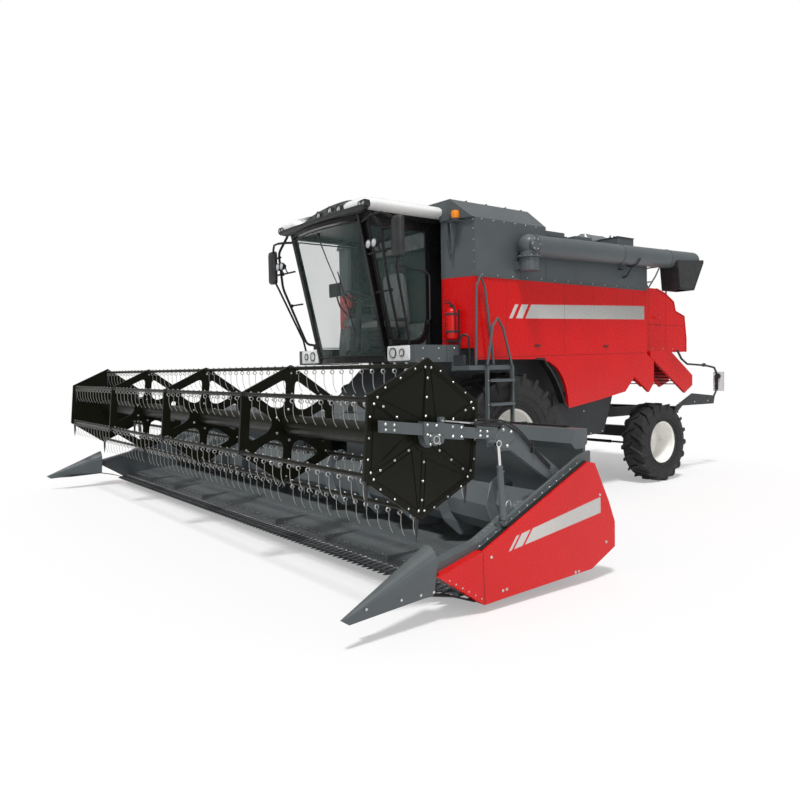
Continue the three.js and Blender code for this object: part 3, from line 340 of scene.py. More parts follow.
def meshPlateFinish():
    # perforated sheet: round holes painted near black as painted shade for the dark space behind them, with
    # a dished edge
    finish = Finish("perforatedSheet", {"Metallic": 0.2})
    grid = finish.node("TexVoronoi", {}, {"Vector": finish.place(), "Scale": 55.0, "Randomness": 0.0},
                       "Distance")
    hole = grid < 0.33
    return finish.set({
        "Base Color": finish.blend(hole, paintSet["darkGrey"]["colour"], (0.003, 0.003, 0.003)),
        "Roughness": finish.remap(hole, 0.0, 1.0, 0.45, 0.9),
        "Normal": finish.bump(hole, -0.4, 0.002),
    })


finishes["mesh"] = meshPlateFinish()
print("finishes ready")


# mesh helpers; every size is in drawing millimetres
def unit(way):
    named = {"x": (1, 0, 0), "y": (0, 1, 0), "z": (0, 0, 1)}
    return Vector(named.get(way, way) if isinstance(way, str) else way).normalized()


def lay(axis, a, b, along):
    return {"x": (along, a, b), "y": (a, along, b), "z": (a, b, along)}[axis]


def span(hand, a, b):
    # two places on one side of the machine, the lower first
    return sorted((hand * a, hand * b))


def around(x, y, z, radius, count, start=0):
    # points of a circle about a line along X, from its top
    turns = [math.tau * (k + start) / count for k in range(count)]
    return [(x, y + radius * math.sin(turn), z + radius * math.cos(turn)) for turn in turns]


def arc(centre, radius, start, stop, steps):
    angles = [math.radians(start + (stop - start) * k / steps) for k in range(steps + 1)]
    return [(centre[0] + radius * math.cos(a), centre[1] + radius * math.sin(a)) for a in angles]


def rounded(points, bend, steps=5):
    # the same path with its inner corners rounded
    at = [Vector(p) for p in points]
    path = [at[0]]
    for before, here, after in zip(at, at[1:], at[2:]):
        reach = min(bend, (before - here).length * 0.45, (after - here).length * 0.45)
        a = here + (before - here).normalized() * reach
        b = here + (after - here).normalized() * reach
        for k in range(steps + 1):
            t = k / steps
            path.append(a * (1 - t) ** 2 + here * (2 * t * (1 - t)) + b * t ** 2)
    return path + [at[-1]]


def softOutline(corners, bend, steps=4):
    # a closed flat outline with rounded corners
    count = len(corners)
    made = []
    for k in range(count):
        before, here, after = (Vector(corners[(k + d) % count]) for d in (-1, 0, 1))
        reach = min(bend, (before - here).length * 0.48, (after - here).length * 0.48)
        a = here + (before - here).normalized() * reach
        b = here + (after - here).normalized() * reach
        made += [tuple(a * (1 - t) ** 2 + here * (2 * t * (1 - t)) + b * t ** 2)
                 for t in np.linspace(0, 1, steps + 1)]
    return made


def boxOutline(a, b):
    return [(a[0], b[0]), (a[1], b[0]), (a[1], b[1]), (a[0], b[1])]


class Shape:
    def __init__(self):
        self.points = []
        self.faces = []

    def put(self, points, faces):
        base = len(self.points)
        self.points += [tuple(p) for p in points]
        self.faces += [tuple(base + k for k in face) for face in faces]
        return self

    def box(self, x, y, z):
        return self.prism(boxOutline(x, y), z, "z")

    def prism(self, outline, span, axis="x", holes=()):
        # a flat outline, with or without holes, pushed from one place to another along an axis
        loops = [list(outline), *[list(hole) for hole in holes]]
        flat = [p for loop in loops for p in loop]
        count = len(flat)
        if holes:
            cover = [tuple(t) for t in tessellate_polygon([[Vector((*p, 0)) for p in loop]
                                                           for loop in loops])]
        else:
            cover = [tuple(range(count))]
        faces = [*cover, *[tuple(k + count for k in reversed(face)) for face in cover]]
        base = 0
        for loop in loops:
            size = len(loop)
            for k in range(size):
                a, b = base + k, base + (k + 1) % size
                faces.append((a, b, b + count, a + count))
            base += size
        return self.put([lay(axis, a, b, c) for c in span for a, b in flat], faces)

    def lathe(self, profile, centre, axis="x", sides=32):
        # (radius, distance) points turned about an axis through the centre
        way = unit(axis)
        side = way.orthogonal().normalized()
        other = way.cross(side)
        centre = Vector(centre)
        points = []
        for radius, along in profile:
            for k in range(sides):
                turn = math.tau * k / sides
                points.append(centre + way * along
                              + (side * math.cos(turn) + other * math.sin(turn)) * radius)
        faces = []
        for row in range(len(profile) - 1):
            for k in range(sides):
                a, b = row * sides + k, row * sides + (k + 1) % sides
                faces.append((a, b, b + sides, a + sides))
        return self.put(points, faces)

    def disc(self, centre, axis, radius, span, sides=24, edge=0):
        a, b = span
        e = edge if b > a else -edge
        profile = [(0, a), (radius - edge, a), (radius, a + e), (radius, b - e), (radius - edge, b), (0, b)]
        return self.lathe(profile, centre, axis, sides)

    def ring(self, centre, axis, outer, inner, span, sides=32):
        a, b = span
        return self.lathe([(inner, a), (outer, a), (outer, b), (inner, b), (inner, a)], centre, axis, sides)

    def tube(self, path, radius, sides=10, shut=False):
        at = [Vector(p) for p in path]
        count = len(at)
        radii = list(radius) if hasattr(radius, "__len__") else [radius] * count
        ways = []
        for k in range(count):
            before = at[k - 1] if k or shut else at[0]
            after = at[(k + 1) % count] if k < count - 1 or shut else at[-1]
            ways.append((after - before).normalized())
        side = ways[0].orthogonal().normalized()
        points = []
        for k in range(count):
            side = (side - ways[k] * side.dot(ways[k])).normalized()
            other = ways[k].cross(side)
            for j in range(sides):
                turn = math.tau * j / sides
                points.append(at[k] + (side * math.cos(turn) + other * math.sin(turn)) * radii[k])
        faces = []
        for k in range(count if shut else count - 1):
            for j in range(sides):
                a, b = k * sides + j, k * sides + (j + 1) % sides
                c, d = ((k + 1) % count) * sides + (j + 1) % sides, ((k + 1) % count) * sides + j
                faces.append((a, b, c, d))
        if not shut:
            faces += [tuple(range(sides)), tuple(range((count - 1) * sides, count * sides))]
        return self.put(points, faces)

    def bolt(self, at, way, across=18, tall=9):
        r = across / 2
        self.lathe([(r * 1.45, 0), (r * 1.45, 2), (r * 0.6, 2.2)], at, way, 12)
        return self.lathe([(r * 1.12, 1.5), (r * 1.12, tall * 0.8), (r * 0.92, tall), (0, tall)], at, way,
                          6)

    def skin(self, rings, shut=True, caps=True):
        # rings of as many points each, joined in order
        size = len(rings[0])
        faces = []
        for k in range(len(rings) - 1):
            for j in range(size if shut else size - 1):
                a, b = k * size + j, k * size + (j + 1) % size
                faces.append((a, b, b + size, a + size))
        if caps:
            faces += [tuple(range(size)), tuple(range((len(rings) - 1) * size, len(rings) * size))]
        return self.put([p for ring in rings for p in ring], faces)

    def copy(self, other, offset=(0, 0, 0), turn=None):
        offset = Vector(offset)
        moved = [(turn @ Vector(p) if turn else Vector(p)) + offset for p in other.points]
        return self.put(moved, other.faces)

    def both(self):
        return self.put([(-x, y, z) for x, y, z in self.points], [tuple(reversed(f)) for f in self.faces])

    def on(self, hand):
        # the shape itself on the left, its mirror image on the right
        return self if hand > 0 else Shape().put([(-x, y, z) for x, y, z in self.points], self.faces)

    def make(self, name, finish, body, slotName, bevel=0, angle=35, standsFor=(), segments=2, smoother=0):
        mesh = bpy.data.meshes.new(name)
        points = [pt(*p) for p in self.points]
        mesh.from_pydata(points, [], self.faces)
        form = bmesh.new()
        form.from_mesh(mesh)
        bmesh.ops.remove_doubles(form, verts=form.verts, dist=1e-5)
        bmesh.ops.recalc_face_normals(form, faces=form.faces)
        form.to_mesh(mesh)
        form.free()
        mesh.shade_smooth()
        mesh.set_sharp_from_angle(angle=math.radians(angle))
        obj = bpy.data.objects.new(name, mesh)
        bpy.context.scene.collection.objects.link(obj)
        mesh.materials.append(finishes[finish])
        if bevel:
            edge = obj.modifiers.new("edge", "BEVEL")
            edge.width = bevel / 1000
            edge.segments = segments
            edge.limit_method = "ANGLE"
            edge.angle_limit = math.radians(40)
            edge.harden_normals = True
        if smoother:
            obj.modifiers.new("smoother", "SUBSURF").levels = smoother
            obj.modifiers["smoother"].render_levels = smoother
        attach(obj, body)
        if standsFor:
            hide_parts(*standsFor)
        return obj


sideNames = (("Left", "left", 1), ("Right", "right", -1))


# floor and light
stageSet = {
    "floor": 0.84,
    "shadowEnds": (7.5, 13.0),  # metres from the middle over which the floor's shadows fade out
    "shadowGlow": 0.35,
    "sky": 0.42,
    "suns": (("keySun", 2.7, (0.32, -0.35, 1.0), 9), ("fillSun", 0.45, (1.0, -0.55, 0.35), 40)),
}


def makeStage(s):
    floor = Shape().box((-40000, 40000), (-40000, 40000), (-60, -2))
    finish = Finish("paleFloor", {"Roughness": 0.9, "Specular IOR Level": 0.1})
    finish.set({"Base Color": (s["floor"],) * 3})
    path = finish.node("LightPath", output="Is Camera Ray")
    position = finish.node("NewGeometry", output="Position")
    away = finish.node("VectorMath", {"operation": "LENGTH"}, {0: position}, "Value")
    glow = finish.node("Emission", {}, {"Color": (1, 1, 1), "Strength": 1.0})
    share = finish.remap(away, *s["shadowEnds"], s["shadowGlow"], 1.0) * path
    mixed = finish.node("MixShader", {}, {0: share, 1: Sock(finish, finish.shader.outputs[0]), 2: glow})
    finish.feed(finish.tree.nodes["Material Output"].inputs["Surface"], mixed)
    finishes["floor"] = finish.material
    mesh = bpy.data.meshes.new("floor")
    mesh.from_pydata([pt(*p) for p in floor.points], [], floor.faces)
    mesh.materials.append(finish.material)
    obj = bpy.data.objects.new("floor", mesh)
    bpy.context.scene.collection.objects.link(obj)
    world = bpy.data.worlds.new("sky")
    bpy.context.scene.world = world
    world.use_nodes = True
    sky = Graph(world.node_tree)
    back = sky.tree.nodes["Background"]
    seen = sky.node("LightPath", output="Is Camera Ray")
    through = sky.node("LightPath", output="Is Transmission Ray")
    white = sky.node("Math", {"operation": "MAXIMUM"}, {0: seen, 1: through})
    sky.feed(back.inputs["Strength"], sky.node("MapRange", {}, {0: white, 3: s["sky"], 4: 1.0}))
    sky.feed(back.inputs["Color"], (1, 1, 1))
    for name, strength, place, spread in s["suns"]:
        data = bpy.data.lights.new(name, "SUN")
        data.energy = strength
        data.angle = math.radians(spread)
        lamp = bpy.data.objects.new(name, data)
        lamp.matrix_world = Vector(place).to_track_quat("Z", "Y").to_matrix().to_4x4()
        bpy.context.scene.collection.objects.link(lamp)
    bpy.context.scene.view_settings.view_transform = "Standard"


makeStage(stageSet)
print("floor and light ready")

nodeFinish = {
    "chassis_frame": "darkGrey", "threshing_body": "grey", "engine": "darkGrey", "grain_tank": "grey",
    "engine_bay": "grey", "side_panel_left": "sideStriped", "side_panel_right": "sideStriped",
    "straw_hood": "red", "deflector": "red", "tail_bar": "darkGrey", "front_axle": "darkGrey",
    "rear_axle": "darkGrey", "knuckle_left": "darkGrey", "knuckle_right": "darkGrey",
    "tie_rod": "darkGrey", "cab_frame": "black", "window_right": "glass", "window_rear": "glass",
    "cab_door": "black", "door_glass": "glass", "platform_left": "grey", "platform_right": "grey",
    "feeder_house": "grey", "header_frame": "grey", "end_panel_left": "endStriped",
    "end_panel_right": "endStriped", "table_auger": "grey", "reel_arm_left": "grey",
    "reel_arm_right": "grey", "reel_sleeve_left": "grey", "reel_sleeve_right": "grey",
    "auger_spout": "plastic", "steering_column": "interior", "windscreen": "glass",
}


def dressNodes():
    for node, finish in nodeFinish.items():
        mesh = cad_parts[node].data
        mesh.materials.clear()
        mesh.materials.append(finishes[finish])
        mesh.shade_smooth()
        mesh.set_sharp_from_angle(angle=math.radians(28))


dressNodes()
print("frame pieces finished")

# wheels
wheelSet = {
    "front": {"y": 720, "x": 1300, "r": 845, "w": 600, "rim": 392, "disc": 1060, "lugs": 21, "lug": 44,
              "bolts": 12},
    "rear": {"y": 3875, "x": 1410, "r": 588, "w": 380, "rim": 312, "disc": 1240, "lugs": 18, "lug": 34,
             "bolts": 8},
}


def tyreShape(s):
    half = s["w"] / 2
    r, rim = s["r"] - s["lug"], s["rim"]
    crown = r - rim
    centre = (s["x"], s["y"], s["r"])
    side = [(rim - 2, half * 0.76), (rim + 8, half * 0.83), (rim + crown * 0.1, half * 0.9),
            (rim + crown * 0.13, half * 0.88), (rim + crown * 0.3, half * 0.985),
            (rim + crown * 0.5, half * 0.998), (rim + crown * 0.62, half * 0.985),
            (rim + crown * 0.64, half * 0.965), (rim + crown * 0.8, half * 0.935),
            (r - crown * 0.04, half * 0.86), (r, half * 0.72), (r + 4, half * 0.35), (r + 5, 0)]
    profile = side + [(a, -b) for a, b in side[-2::-1]]
    shape = Shape().lathe(profile, centre, "x", 96)

    def surface(share):
        # a point of the outer skin, from the middle (0) to the side (1)
        rows = side[::-1][:6]
        across = share * (len(rows) - 1)
        k = min(int(across), len(rows) - 2)
        a, b = rows[k], rows[k + 1]
        return a[0] + (b[0] - a[0]) * (across - k), a[1] + (b[1] - a[1]) * (across - k)

    pitch = math.tau / s["lugs"]
    for k in range(s["lugs"]):
        for hand in (1, -1):
            base = pitch * (k + (0.25 if hand > 0 else 0.75))
            rings = []
            for j in range(9):
                share = j / 8
                radius, away = surface(min(1, share * 0.97))
                lean = base - pitch * 0.78 * (share ** 0.85)
                broad = (0.15 + 0.07 * share) * pitch
                fall = (max(0, share - 0.62) / 0.38) ** 1.6
                top = s["r"] - 1 - (s["r"] - radius - 8) * fall
                outward = away + (6 if share > 0.6 else 0)
                x0 = away * hand - (14 * hand if j == 0 else 0)
                x1 = outward * hand - (14 * hand if j == 0 else 0)
                ring = []
                for turn, level, x in ((lean - broad * 0.62, radius - 6, x0),
                                       (lean - broad * 0.45, top - 4, x1), (lean - broad * 0.36, top, x1),
                                       (lean + broad * 0.36, top, x1), (lean + broad * 0.45, top - 4, x1),
                                       (lean + broad * 0.62, radius - 6, x0)):
                    ring.append((centre[0] + x, centre[1] + level * math.sin(turn),
                                 centre[2] + level * math.cos(turn)))
                rings.append(ring)
            shape.skin(rings)
    for radius, away in ((rim + crown * 0.2, 0.955), (rim + crown * 0.42, 0.999)):
        for hand in (1, -1):
            shape.tube(around(centre[0] + hand * half * away, *centre[1:], radius, 72), 4, 6, shut=True)
    return shape


def rimShape(s):
    half = s["w"] / 2 * 0.8
    r, disc = s["rim"] - 2, s["disc"] - s["x"]
    centre = (s["x"], s["y"], s["r"])
    profile = [
        (r, half), (r + 3, half - 4), (r - 2, half - 12), (r - 20, half - 22), (r - 22, half - 60),
        (r - 34, half * 0.45), (r - 36, disc + 70), (r - 46, disc + 76), (r - 54, disc + 40),
        (r - 80, disc + 30), (r * 0.56, disc + 24), (r * 0.5, disc + 12), (r * 0.3, disc + 10),
        (r * 0.3, disc + 2), (r * 0.62, disc + 4), (r - 40, disc + 14), (r - 24, disc - 6),
        (r - 22, -half + 50), (r - 10, -half + 16), (r, -half), (r + 3, -half + 5), (r - 4, -half + 22),
        (r - 14, -half + 54), (r - 12, half - 60), (r - 6, half - 20), (r, half),
    ]
    return Shape().lathe(profile, centre, "x", 80)


def wheelHub(s):
    disc = s["disc"] - s["x"]
    r = s["rim"]
    centre = (s["x"], s["y"], s["r"])
    hub = Shape()
    hub.lathe([(0, disc + 70), (r * 0.13, disc + 69), (r * 0.17, disc + 62), (r * 0.18, disc + 44),
               (r * 0.25, disc + 40), (r * 0.27, disc + 20), (r * 0.31, disc + 16), (r * 0.31, disc - 1),
               (0, disc - 1)], centre, "x", 48)
    nuts = Shape()
    for at in around(s["x"] + disc + 12, s["y"], s["r"], r * 0.41, s["bolts"]):
        nuts.bolt(at, "x", 30, 20)
        nuts.disc((at[0] + 18, at[1], at[2]), "x", 8, (0, 12), 10, 2)
    for at in around(s["x"] + disc + 40, s["y"], s["r"], r * 0.215, 8, 0.5):
        nuts.bolt(at, "x", 14, 8)
    valve = (s["x"] + disc + 90, s["y"] + (r - 60), s["r"])
    nuts.tube([valve, (valve[0] + 40, valve[1] - 6, valve[2])], 5, 8)
    return hub, nuts


def makeWheels():
    for end, s in wheelSet.items():
        tyre, rim = tyreShape(s), rimShape(s)
        hub, nuts = wheelHub(s)
        for side, low, hand in sideNames:
            body = f"{end}_wheel_{low}"
            tyre.on(hand).make(f"{end}Tyre{side}", "tyre", body, "tyre", angle=32,
                               standsFor=[f"{end}_tyre_{low}"])
            rim.on(hand).make(f"{end}Rim{side}", "cream", body, "cream", angle=40,
                              standsFor=[f"{end}_rim_{low}"])
            hub.on(hand).make(f"{end}Hub{side}", "cream", body, "cream", angle=40)
            nuts.on(hand).make(f"{end}Nuts{side}", "zinc", body, "steel")


makeWheels()
print("wheels ready")

# reel
reelSet = {
    "y": -2674, "z": 1262, "half": 3950, "ring": 515, "lean": 4.6, "barR": 17, "pitch": 146, "wire": 2.6,
    "coil": 17, "leg": 214, "core": 89, "spiders": (-1975, 0, 1975),
}


def aroundReel(radius, offset=0.0):
    s = reelSet
    angles = [math.radians(90 - s["lean"] + 60 * (k + offset)) for k in range(6)]
    return [(s["y"] + radius * math.cos(a), s["z"] + radius * math.sin(a)) for a in angles]


def barShapes(y, z):
    s = reelSet
    tube = Shape().tube([(-s["half"] + 1, y, z), (s["half"] - 1, y, z)], s["barR"], 20)
    wires = Shape()
    turns, steps = 2.25, 10
    path = []
    count = int(turns * steps)
    for k in range(count + 1):
        turn = math.tau * k / steps
        path.append((-6 + 12 * k / count, 2 - s["coil"] * math.sin(turn + 0.6),
                     -s["barR"] - s["coil"] - 3 + s["coil"] * math.cos(turn + 0.6)))
    tip = path[-1]
    for drop, back in ((30, 5), (80, 7), (120, 2), (150, -8), (s["leg"] - 34, -26)):
        path.append((tip[0] + 3, -back + 9, -s["barR"] - drop - 14))
    one = Shape().tube(path, s["wire"], 5)
    clip = Shape()
    clip.tube([(-8, 0, -s["barR"] - 8), (-8, 6, s["barR"] + 3), (8, 6, s["barR"] + 3),
               (8, 0, -s["barR"] - 8)], 3, 6)
    clip.disc((0, 0, s["barR"]), "z", 7, (0, 9), 6, 1)
    clips = Shape()
    x = -s["half"] + 62
    while x < s["half"] - 50:
        if min(abs(x - spider) for spider in s["spiders"]) > 24:
            wires.copy(one, (x, y, z))
            clips.copy(clip, (x, y, z))
        x += s["pitch"]
    ends = Shape()
    for hand in (-1, 1):
        x = hand * (s["half"] - 46)
        rings = []
        for drop, wide, deep in ((-24, 16, 17), (20, 15, 17), (70, 12, 15), (150, 8, 10), (218, 3, 3)):
            rings.append([(x + a * wide, y + b * deep - drop * 0.05, z - drop) for a, b in
                          ((-1, -0.6), (-0.5, -1), (0.5, -1), (1, -0.6), (1, 0.6), (0.5, 1), (-0.5, 1),
                           (-1, 0.6))])
        ends.skin(rings)
        ends.disc((x - 12, y, z), "x", 24, (0, 24), 16, 3)
    for spider in s["spiders"]:
        for gap in (-26, 12):
            ends.ring((spider, y, z), "x", 25, s["barR"], (gap, gap + 14), 18)
    return tube, wires, clips, ends


def spiderShape(x, s):
    # a hexagonal plate with six round-cornered windows about its hub
    holes = []
    outer = aroundReel(s["ring"] - 66)
    for k in range(6):
        a, b = Vector(outer[k]), Vector(outer[(k + 1) % 6])
        centre = Vector((s["y"], s["z"]))
        middle = (a + b) / 2
        inward = (centre - middle).normalized()
        along = (b - a).normalized()
        wide = (b - a).length / 2 - 52
        deep = (middle - centre).length - 158
        corners = [middle - along * wide, middle + along * wide,
                   middle + along * (wide * 0.42) + inward * deep * 0.78, middle + inward * deep,
                   middle - along * (wide * 0.42) + inward * deep * 0.78]
        holes.append(softOutline([tuple(c) for c in corners], 70, 5))
    shape = Shape().prism(aroundReel(s["ring"] + 31), (x - 8, x + 8), "x", holes)
    lip = aroundReel(s["ring"] + 31)
    inner = aroundReel(s["ring"] + 27)
    for k in range(6):
        n = (k + 1) % 6
        shape.prism([lip[k], lip[n], inner[n], inner[k]], (x - 30, x + 8), "x")
        spoke = Vector(aroundReel(s["ring"] - 60)[k]) - Vector((s["y"], s["z"]))
        side = Vector((-spoke.y, spoke.x)).normalized()
        start, stop = Vector((s["y"], s["z"])) + spoke * 0.35, Vector((s["y"], s["z"])) + spoke
        for hand in (-1, 1):
            edge = [start + side * 24 * hand, stop + side * 24 * hand, stop + side * 28 * hand,
                    start + side * 28 * hand]
            shape.prism([tuple(p) for p in edge], (x - 24, x + 8), "x")
    return shape


def makeReel():
    s = reelSet
    core = Shape().tube([(-s["half"] + 5, s["y"], s["z"]), (s["half"] - 5, s["y"], s["z"])], s["core"], 40)
    for x in s["spiders"]:
        core.ring((x, s["y"], s["z"]), "x", 176, s["core"] - 2, (-9, 9), 40)
        for hand in (-1, 1):
            core.ring((x, s["y"], s["z"]), "x", 112, s["core"] - 2, (hand * 9, hand * 21), 32)
    plates = Shape()
    bolts = Shape()
    for x in s["spiders"]:
        plates.copy(spiderShape(x, s))
        for hand in (-1, 1):
            for at in around(x + hand * 9, s["y"], s["z"], 140, 6):
                bolts.bolt(at, (hand, 0, 0), 18, 10)
            for y, z in aroundReel(s["ring"] - 42):
                bolts.bolt((x + hand * 8, y, z), (hand, 0, 0), 14, 8)
    for hand in (-1, 1):
        face = hand * s["half"]
        near = sorted((face - hand * 25, face))
        plates.prism(aroundReel(s["ring"] + 56), near, "x", [arc((s["y"], s["z"]), 36, 0, 345, 23)])
        # folded sheets on the outer face: a raised edge, radial seams and shallow panels
        rim, inside = aroundReel(s["ring"] + 54), aroundReel(s["ring"] + 18)
        deep = sorted((face, face + hand * 5))
        hub = Vector((s["y"], s["z"]))
        for k in range(6):
            n = (k + 1) % 6
            plates.prism([rim[k], rim[n], inside[n], inside[k]], deep, "x")
            corner = Vector(aroundReel(s["ring"] + 20)[k])
            middle = (Vector(rim[k]) + Vector(rim[n])) / 2
            panel = [hub + (corner - hub) * 0.2, Vector(inside[k]), Vector(inside[n])]
            centre = (panel[0] + panel[1] + panel[2]) / 3
            small = [centre + (p - centre) * 0.86 for p in panel]
            smaller = [centre + (p - centre) * 0.84 for p in panel]
            for a, b in ((0, 1), (1, 2), (2, 0)):
                edge = [small[a], small[b], smaller[b], smaller[a]]
                plates.prism([tuple(p) for p in edge], deep, "x")
            way = (corner - hub).normalized()
            side = Vector((-way.y, way.x))
            seam = [hub + way * 95 + side * 14, corner + side * 14, corner - side * 14,
                    hub + way * 95 - side * 14]
            plates.prism([tuple(p) for p in seam], deep, "x")
            for far in (0.3, 0.55, 0.8, 0.94):
                at = hub + (corner - hub) * far
                for off in ((-26, 26) if far > 0.9 else (0,)):
                    place = at + side * off
                    bolts.bolt((face + hand * 5, place.x, place.y), (hand, 0, 0), 13, 7)
            for far in (0.25, 0.5, 0.75):
                at = Vector(rim[k]).lerp(Vector(rim[n]), far) + (hub - middle).normalized() * 16
                bolts.bolt((face + hand * 5, at.x, at.y), (hand, 0, 0), 11, 6)
        plates.ring((face, s["y"], s["z"]), "x", 92, 38, (0, hand * 7), 36)
        core.tube([(face - hand * 4, s["y"], s["z"]), (face + hand * 37, s["y"], s["z"])], 32, 24)
    plates.make("reelPlates", "reelBlack", "reel", "olive", bevel=1.5, standsFor=["reel"])
    core.make("reelCore", "reelBlack", "reel", "olive")
    bolts.make("reelBolts", "zinc", "reel", "steel")
    for k, (y, z) in enumerate(aroundReel(s["ring"])):
        body = f"tine_bar_{k + 1}"
        tube, wires, clips, ends = barShapes(y, z)
        tube.make(f"tineBarTube{k + 1}", "reelBlack", body, "dark", standsFor=[body])
        wires.make(f"springTines{k + 1}", "wire", body, "steel")
        clips.make(f"tineClips{k + 1}", "zinc", body, "steel")
        ends.make(f"endFingers{k + 1}", "plastic", body, "dark")


makeReel()
print("reel ready")

# reel arms, their slides and rams
armSet = {"y": -1400, "z": 870, "tip": -3108, "elbow": -1960, "x": (4003, 4047), "slope": 0.117,
          "half": 40, "above": 30}


def armRun(y):
    return 1245 + armSet["slope"] * (armSet["elbow"] - y)


def aboveArm(x, y):
    # a point of the slide ram's line, over the arm
    return x, y, armRun(y) + armSet["half"] + armSet["above"]


def makeArms():
    s = armSet
    for side, _, hand in sideNames:
        arm, bolts, ram, rods, hoses, slide, slideBolts = (Shape() for _ in range(7))
        x0, x1 = s["x"]
        arm.prism([(s["tip"] + 2, armRun(s["tip"]) - 37), (s["tip"] + 150, armRun(s["tip"] + 150) - 37),
                   (s["tip"] + 150, armRun(s["tip"] + 150) + 37), (s["tip"] + 2, armRun(s["tip"]) + 37)],
                  (x0 - 3, x1 + 3))
        for y in (-3080, -3010, -2230, -2160):
            for up in (-18, 18):
                bolts.bolt((x1 + (3 if y < -3000 else 0), y, armRun(y) + up), "x", 15, 9)
        gusset = [(-2120, 1200), (-2010, 1318), (-1900, 1300), (-1880, 1215), (-1990, 1140)]
        arm.prism(gusset, (x1, x1 + 6))
        for y, z in ((-2085, 1205), (-2000, 1290), (-1920, 1270), (-1960, 1165)):
            bolts.bolt((x1 + 6, y, z), "x", 18, 10)
        arm.ring((x1, s["y"], s["z"]), "x", 58, 26, (0, 5), 28)
        # the ram that pushes the reel forwards lies along the top of the arm
        ram.tube([aboveArm(x0 + 22, -1990), aboveArm(x0 + 22, -2262)], 17, 24)
        ram.tube([aboveArm(x0 + 22, -2250), aboveArm(x0 + 22, -2268)], 21, 24)
        arm.box((x0 + 4, x0 + 16), (-2014, -1970), (armRun(-1990) + 34, armRun(-1990) + 100))
        arm.box((x0 + 28, x0 + 40), (-2014, -1970), (armRun(-1990) + 34, armRun(-1990) + 100))
        bolts.disc(aboveArm(x0 + 2, -1990), "x", 8, (0, 42), 14, 1)
        rods.tube([aboveArm(x0 + 22, -2180), aboveArm(x0 + 22, -2580)], 8, 16)
        slide.box((x0 + 6, x0 + 15), (-2606, -2560), (armRun(-2580) + 52, armRun(-2580) + 96))
        slide.box((x0 + 29, x0 + 38), (-2606, -2560), (armRun(-2580) + 52, armRun(-2580) + 96))
        slideBolts.disc(aboveArm(x0 + 3, -2583), "x", 8, (0, 40), 14, 1)
        for y in (-2735, -2655, -2505, -2425):
            for up in (-34, 34):
                slideBolts.bolt((x1 + 13, y, armRun(y) + up), "x", 15, 9)
        plateY = reelSet["y"]
        slide.prism(softOutline([(plateY - 100, armRun(plateY) - 40), (plateY + 100, armRun(plateY) - 40),
                                 (plateY + 76, 1230), (plateY - 76, 1230)], 14), (x1 + 13, x1 + 19))
        slide.disc((x1 + 12, plateY, reelSet["z"] + 2), "x", 44, (0, 22), 30, 5)
        slideBolts.ring((x1 + 34, plateY, reelSet["z"] + 2), "x", 30, 22, (-1, 5), 26)
        for k in range(4):
            turn = math.radians(45 + 90 * k)
            slideBolts.bolt((x1 + 19, plateY + 58 * math.cos(turn),
                             reelSet["z"] + 2 + 40 * math.sin(turn)), "x", 15, 8)
        for lift in (0, 22):
            hoses.tube(rounded([(x1 + 8, -2290, armRun(-2290) + 52 + lift * 0.4),
                                (x1 + 12, -2040, 1352 + lift), (x1 + 14, -1850, 1270 + lift),
                                (x1 + 14, -1640, 1075 + lift), (x1 + 10, -1490, 950 + lift)],
                               90), 7, 10)
        hoses.box((x1, x1 + 24), (-1700, -1685), (1090, 1170))
        parts = ((arm, "armPlates", "grey", "reel_arms", 2), (bolts, "armBolts", "zinc", "reel_arms", 0),
                 (ram, "slideRam", "darkGrey", "reel_arms", 1.5),
                 (hoses, "armHoses", "rubber", "reel_arms", 0),
                 (slide, "slidePlates", "grey", "reel_sleeves", 2),
                 (slideBolts, "slideBolts", "zinc", "reel_sleeves", 0),
                 (rods, "slideRod", "chrome", "reel_sleeves", 0))
        for shape, name, finish, body, bevel in parts:
            slotName = "steel" if finish in ("zinc", "chrome") else "grey"
            shape.on(hand).make(name + side, finish, body, slotName, bevel)


makeArms()

ramSet = {
    "head": {"x": 430, "base": (560, 640), "eye": (-640, 470), "neck": 80, "barrel": 720, "rod": 985,
             "barrelR": 52, "rodR": 30, "eyeR": 50, "eyeHalf": 32, "pinR": 25},
    "reel": {"x": 4128, "base": (-2080, 615), "eye": (-2130, 1200), "neck": 26, "barrel": 425, "rod": 432,
             "barrelR": 24, "rodR": 13, "eyeR": 26, "eyeHalf": 11, "pinR": 13},
}


